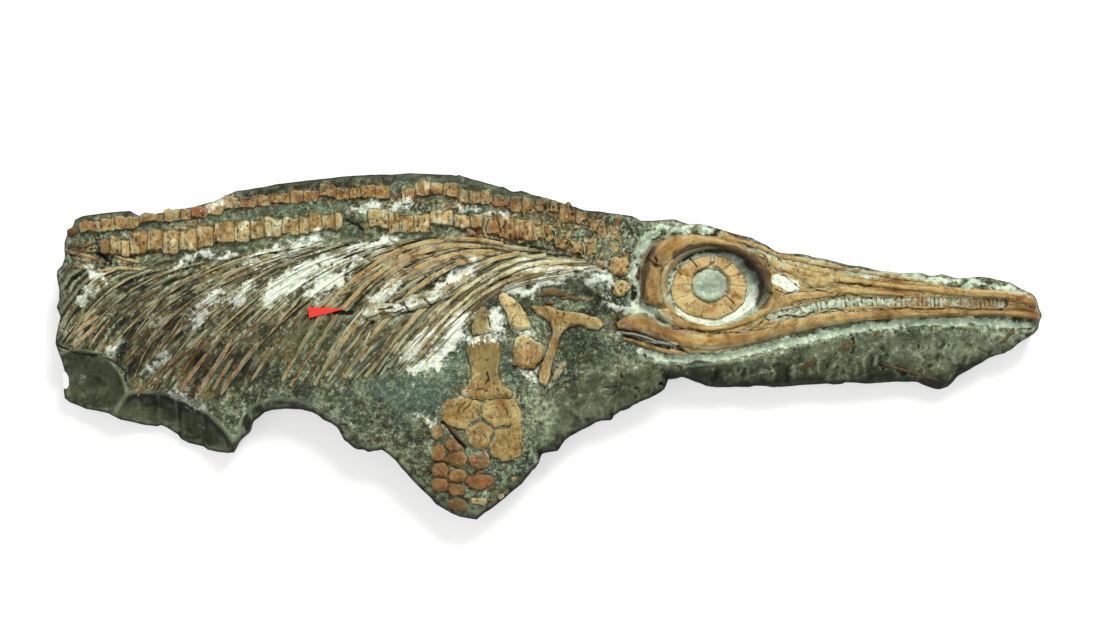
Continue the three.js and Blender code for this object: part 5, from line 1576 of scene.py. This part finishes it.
# Broken ends of ribs, and slivers among the bones: line, width, tone from 0, dark red, to 1, pale.
RIB_ENDS = [
    ([(211, 350), (194, 372), (178, 396)], 5, 0.05),
    ([(235, 335), (222, 358), (207, 380), (197, 399)], 5.4, 0.1),
    ([(235, 357), (220, 380), (212, 393)], 4.4, 0.15), ([(235, 373), (220, 397)], 4.2, 0.2),
    ([(213, 335), (194, 357), (180, 378), (172, 385)], 3.4, 0.5),
    ([(186, 350), (168, 369), (149, 394)], 4.0, 0.6), ([(169, 361), (152, 379), (136, 397)], 4.0, 0.6),
    ([(175, 315), (161, 328)], 3.4, 0.7), ([(328, 328), (312, 351), (300, 371), (291, 384)], 3.6, 0.4),
    ([(313, 329), (298, 353), (284, 379)], 3.4, 0.5), ([(325, 351), (315, 368), (305, 382)], 3.2, 0.3),
    ([(343, 353), (329, 367), (316, 385)], 3.2, 0.5), ([(361, 339), (349, 359), (336, 378)], 3.4, 0.5),
    ([(395, 335), (377, 359), (365, 376)], 3.6, 0.6), ([(384, 327), (366, 348)], 3.2, 0.6),
    ([(262, 340), (248, 356), (240, 369), (226, 386)], 4.4, 0.2),
    ([(98, 325), (84, 338), (72, 350)], 4.6, 0.45), ([(101, 315), (82, 328), (66, 342)], 5, 0.45),
    ([(112, 318), (98, 335), (88, 350)], 3, 0.6), ([(140, 345), (126, 362)], 3, 0.3),
    ([(300, 300), (283, 318), (268, 338)], 3, 0.4), ([(120, 268), (98, 277), (82, 292)], 2.8, 0.6),
    ([(168, 286), (140, 300), (118, 320)], 2.8, 0.5), ([(276, 345), (262, 366), (250, 384)], 4.2, 0.3),
    ([(412, 318), (396, 336), (380, 356)], 2.8, 0.7), ([(440, 310), (424, 326), (408, 344)], 3, 0.7),
    ([(400, 301), (415, 297), (430, 296)], 3.6, 0.4), ([(590, 262), (566, 262), (545, 266)], 3, 0.7),
    ([(600, 266), (580, 268), (556, 275)], 3, 0.8), ([(66, 250), (88, 257), (104, 262)], 6, 0.35),
    ([(94, 272), (118, 268), (146, 270)], 4, 0.85), ([(106, 250), (120, 258), (142, 263)], 5, 0.5),
    ([(66, 244), (78, 246), (92, 244)], 5, 0.45), ([(70, 266), (96, 268)], 4, 0.4),
    ([(470, 262), (486, 256)], 2.6, 0.8), ([(345, 288), (362, 278), (380, 270)], 3, 0.3),
    ([(338, 296), (352, 290)], 3, 0.4), ([(552, 382), (560, 370), (567, 360)], 6, 0.3),
    ([(533, 297), (548, 293), (566, 295), (578, 299)], 5, 0.3), ([(545, 303), (556, 303)], 4, 0.6),
    ([(541, 292), (552, 290), (563, 293)], 6, 0.5), ([(560, 299), (571, 297), (580, 301)], 5.4, 0.2),
    ([(498, 498), (504, 494)], 6, 0.9), ([(470, 500), (488, 502)], 8, 0.75),
    ([(511, 480), (518, 478)], 5, 0.5), ([(425, 424), (431, 420)], 6, 0.6),
    ([(482, 446), (489, 460)], 5, 0.0), ([(444, 422), (456, 434), (467, 447)], 3.4, 0.1),
    ([(618, 332.5), (629, 333.5), (641, 336), (652, 339.5), (661, 343), (676, 345.5)], 2.8, 1.3),
    ([(66, 234), (77, 229)], 9, 0.35), ([(64, 252), (74, 250), (88, 252)], 6, 0.5),
    ([(74, 258), (92, 262)], 5, 0.3), ([(1003, 342), (1010, 334), (1016, 327)], 5, 0.5),
    ([(838, 350), (846, 346), (853, 345)], 6, 0.3), ([(800, 370), (808, 364), (818, 360)], 6, 0.0),
    ([(878, 362), (900, 368), (920, 373), (946, 381)], 2.6, 0.15),
]
# Thin splinters of crushed rib, laid along the fan: how many, the part of the fan that they lie in, the
# length along it, the width, and the range of their tones.
SPLINTER_BEDS = [
    (120, (0.1, 4.2), (-150, 40), (24, 70), (1.5, 3.0), (0.1, 0.85)),
    (46, (1.8, 3.4), (20, 140), (24, 60), (1.8, 3.2), (0.05, 0.7)),
    (36, (3.6, 8.0), (-30, 70), (20, 50), (1.6, 2.8), (0.1, 0.6)),
    (70, (4.0, 8.0), (-190, -40), (26, 70), (1.8, 3.2), (0.3, 0.8)),
    (60, (4.8, 7.4), (-215, -80), (34, 84), (2.8, 4.4), (0.35, 0.75)),
    (90, (0.1, 4.0), (-150, 60), (20, 50), (1.1, 1.9), (0.3, 0.9)),
    (110, (7.2, 8.7), (-215, -40), (30, 90), (2.0, 4.2), (0.3, 1.15)),
    (40, (5.8, 7.4), (-60, 30), (20, 60), (1.8, 3.2), (0.5, 1.1)),
]


def fan_point(across, along):
    """The plan place at a place in the fan, between two of its lines."""
    first = int(np.clip(across, 0, len(FAN_LINES) - 2))
    ends = []
    for line in FAN_LINES[first:first + 2]:
        xs, ys = np.array(line).T
        ends.append([np.interp(along, along_fan(xs, ys), values) for values in (xs, ys)])
    share = across - first
    return [a + (b - a) * share for a, b in zip(*ends)]


SPLINTER_STEPS = 9
DEEPEST_SPLINTER = FACE_LEVEL - 4  # no splinters lie on ground that is broken deeper than this


def scatter_splinters():
    """Splinters as lines with a width and a tone."""
    rng = np.random.default_rng(11)
    found = []
    for count, acrosses, alongs, lengths, widths, tones in SPLINTER_BEDS:
        for _ in range(count):
            across, middle = rng.uniform(*acrosses), rng.uniform(*alongs)
            length, width, tone = rng.uniform(*lengths), rng.uniform(*widths), rng.uniform(*tones)
            runs = np.linspace(middle - 0.35 * length, middle + 0.35 * length, SPLINTER_STEPS)
            first = int(across)
            reach = [[along_fan(x, y) for x, y in line] for line in FAN_LINES[first:first + 2]]
            if runs[0] < max(r[0] for r in reach) or runs[-1] > min(r[-1] for r in reach):
                continue
            acrosses_on = across + rng.uniform(-0.06, 0.06) * np.linspace(-1, 1, SPLINTER_STEPS)
            xs, ys = np.array([fan_point(*place) for place in zip(acrosses_on, runs)]).T
            on_face = broken_level(xs, ys).min() > DEEPEST_SPLINTER
            if on_face and depth_inside(xs, ys, RIB_ZONE).min() > 1:
                found.append((list(zip(xs, ys)), width, tone))
    return found


SLIVER_SIDES, SLIVER_RINGS = 6, 8
HEADING_STEP = 0.04  # the share of its line before and after a place that gives the way it heads


def lay_slivers(name, slivers, material, rise, muddy):
    """Thin bones as one mesh, each a ball drawn out along its line and half sunk in the stone."""
    bm = bmesh.new()
    places = {}
    for line, width, tone in slivers:
        ball = bmesh.ops.create_uvsphere(bm, u_segments=SLIVER_SIDES, v_segments=SLIVER_RINGS, radius=1)
        ball_x, ball_y, ball_z = np.array([vert.co[:] for vert in ball["verts"]]).T
        share = np.arcsin(np.clip(ball_z, -1, 1)) / math.pi + 0.5
        girth = np.sqrt(np.maximum(0, 1 - np.abs(2 * share - 1) ** 5))
        radius = np.maximum(np.hypot(ball_x, ball_y), 1e-6)
        x, y = place_along(line, share)
        ahead = place_along(line, np.minimum(share + HEADING_STEP, 1))
        dx, dy = ahead - place_along(line, np.maximum(share - HEADING_STEP, 0))
        off = ball_x / radius * girth * width / 2 / (np.hypot(dx, dy) + 1e-9)
        up = ball_y / radius * girth
        rows = np.stack([x, y, -dy * off, dx * off, up, np.full(len(up), tone)], axis=1)
        places.update(zip(ball["verts"], rows))
    x, y, off_x, off_y, up, tone = np.array([places[vert] for vert in bm.verts]).T
    wander = 1 + 0.3 * lumps(x, y, tone * 40, 9, 341, 2)
    ground = slab_height(x, y)["level"]
    x, y = x + off_x * wander, y + off_y * wander
    z = ground + np.where(up > 0, rise * wander, ROOT_DEPTH) * up
    mesh = plan_mesh(bm, name, x, y, z)
    flat = np.zeros(x.shape)
    carry(
        mesh,
        flow=np.stack([*fan_grain(x, y), flat], axis=1) * MM,
        side=np.clip(1 - point_vectors(mesh, "normal")[:, 2], 0, 1),
        tone=tone,
        matrix=rib_mud(x, y) * muddy,
        hollow=flat + 0.5,
        fissure=flat,
    )
    carry_films(mesh, x, y)
    new_piece(name, mesh, material)


splinter_bone = bone_material(
    "splinter_bone", srgb(106, 90, 54), srgb(178, 166, 120), srgb(54, 44, 26), crust=0.45, streak_scale=520
)
lay_slivers("rib_splinters", scatter_splinters(), splinter_bone, rise=1.5, muddy=1.0)
rib_end_bone = bone_material(
    "rib_end_bone", srgb(134, 104, 60), srgb(184, 158, 106), srgb(64, 48, 26), crust=0.4, dimmed=0.2
)
lay_slivers("rib_ends_and_slivers", RIB_ENDS, rib_end_bone, rise=2.9, muddy=0.4)


def broken_tone(x, y):
    """Bits of bone of every shade, side by side."""
    return 0.5 + 0.6 * flat_lumps(x, y * 1.6, 9, 343, 2)


def broken_mud(x, y):
    return 0.3 + 0.25 * flat_lumps(x, y * 1.5, 12, 344, 2)


belly_bone = bone_material("belly_bone", srgb(122, 116, 72), srgb(186, 188, 140), BONE_DARK, crust=0.5)
weathered_bone(
    "belly_bone_bundle", belly_bone, "rib_bone", fan_grain, voxel=0.8, relief=1.2, fibre=3.4, seed=330,
    fissures=1.0, tone=broken_tone, buried=broken_mud,
)

# ---- The shoulder and paddle ----
# Flat ochre bones of the shoulder, then the short upper arm bone and the mosaic of rounded bones that
# made up the paddle, each set in its own shallow bed of stone.

limb_bone = bone_material("limb_bone", srgb(162, 134, 76), srgb(206, 186, 126), BONE_DARK, rim=0.3)


def limb_mud(x, y):
    """Patches of mud left on the flat bones."""
    return 0.22 + 0.24 * flat_lumps(x, y, 15, 405)


for index, node in enumerate(("shoulder_blade", "collar_fragment", "coracoid_bone", "collar_bone")):
    weathered_bone(
        node, limb_bone, "paddle_bone", tangled_grain, relief=0.8, fibre=4, seed=350 + 6 * index,
        buried=limb_mud,
    )

WRIST_BONES = ["forearm_bone_front", "forearm_bone_rear", "wrist_bone_middle", "wrist_bone_rear"]
FINGER_BONES = [f"finger_bone_{number:02d}" for number in range(1, 12)]


def oval_of(node):
    """Middle and half widths of a bone over the plan."""
    low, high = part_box(node)
    middle = ((low[0] + high[0]) / 2 / MM + PLAN_CENTRE[0], PLAN_CENTRE[1] - (low[1] + high[1]) / 2 / MM)
    return (*middle, (high[0] - low[0]) / 2 / MM, (high[1] - low[1]) / 2 / MM)


OVALS = {node: oval_of(node) for node in WRIST_BONES + FINGER_BONES}
SEAM = 0.05  # share of a bone's half width that parts it from the next
SPREAD_START, SPREAD_LIMIT = 0.86, 1.25
SPREAD_STEPS = 26


def mosaic_shape(node):
    """Lets a rounded bone of the paddle out towards its neighbours, until only a seam parts them."""
    own = OVALS[node]
    others = [oval for other, oval in OVALS.items() if other != node]

    def apart(x, y, oval):
        return oval_share(x, y, oval[:2], oval[2:])

    def shape(x, y, z):
        spoke = np.maximum(apart(x, y, own), 0.05)
        limit = np.full(x.shape, SPREAD_START)
        for reach in np.linspace(SPREAD_START, SPREAD_LIMIT, SPREAD_STEPS):
            px, py = own[0] + (x - own[0]) / spoke * reach, own[1] + (y - own[1]) / spoke * reach
            free = np.min([apart(px, py, other) for other in others], axis=0) > reach + SEAM
            limit = np.where(free & (limit > reach - 0.03), reach, limit)
        limit = limit * (1 + 0.06 * flat_lumps(x, y, 6, 401, 2))
        return own[0] + (x - own[0]) * limit, own[1] + (y - own[1]) * limit, z

    return shape


def straight_grain(x, y):
    """Grain that runs down the plan."""
    return x, y


paddle_bone = bone_material(
    "paddle_bone", srgb(140, 112, 56), srgb(178, 154, 92), BONE_DARK, grained=0.5, rim=0.15
)
weathered_bone(
    "upper_arm_bone", paddle_bone, "paddle_bone", straight_grain, relief=0.8, fibre=3.2, seed=380,
    spread=0.8,
)
for index, node in enumerate(WRIST_BONES):
    weathered_bone(
        node, paddle_bone, "paddle_bone", tangled_grain, relief=0.8, fibre=4, seed=386 + 6 * index,
        shape=mosaic_shape(node), fissures=0.1,
    )
finger_bone = bone_material(
    "finger_bone", srgb(118, 84, 42), srgb(150, 122, 70), srgb(76, 48, 24), grained=0.5, rim=0.1
)
for index, node in enumerate(FINGER_BONES):
    weathered_bone(
        node, finger_bone, "paddle_bone", tangled_grain, voxel=0.7, relief=0.6, fibre=4,
        seed=420 + 6 * index, shape=mosaic_shape(node), fissures=0.1,
    )

# ---- The paper pointer and label ----
# A small red paper triangle that points at the belly bones, and a white paper label, left bare, stuck
# to the broken tail corner.


def paper_piece(node, tint, slot):
    """A cut paper: its solid with crisp edges, a fibrous surface and worn, dirty patches."""
    mesh = mesh_of(merged_solid(node), node + "_cut")
    paint = Paint(slot)
    fibre = paint.noise(paint.place(), 900, 4, 0.7)
    worn = paint.noise(paint.place(), 160, 3, 0.6)
    dull = tuple(channel * 0.72 for channel in tint[:3]) + (1.0,)
    colour = paint.mix(paint.step(worn, 0.5, 0.75) * 0.5 + (fibre - 0.5) * 0.3, tint, dull)
    paint.bump(fibre, 0.0004, 0.4)
    piece = new_piece(mesh.name, mesh, paint.finish(colour, 0.65, 0.3))
    mesh.shade_flat()
    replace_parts(piece, node)


paper_piece("paper_pointer", srgb(228, 48, 36), "pointer_paper")
paper_piece("paper_label", srgb(240, 240, 238), "label_paper")
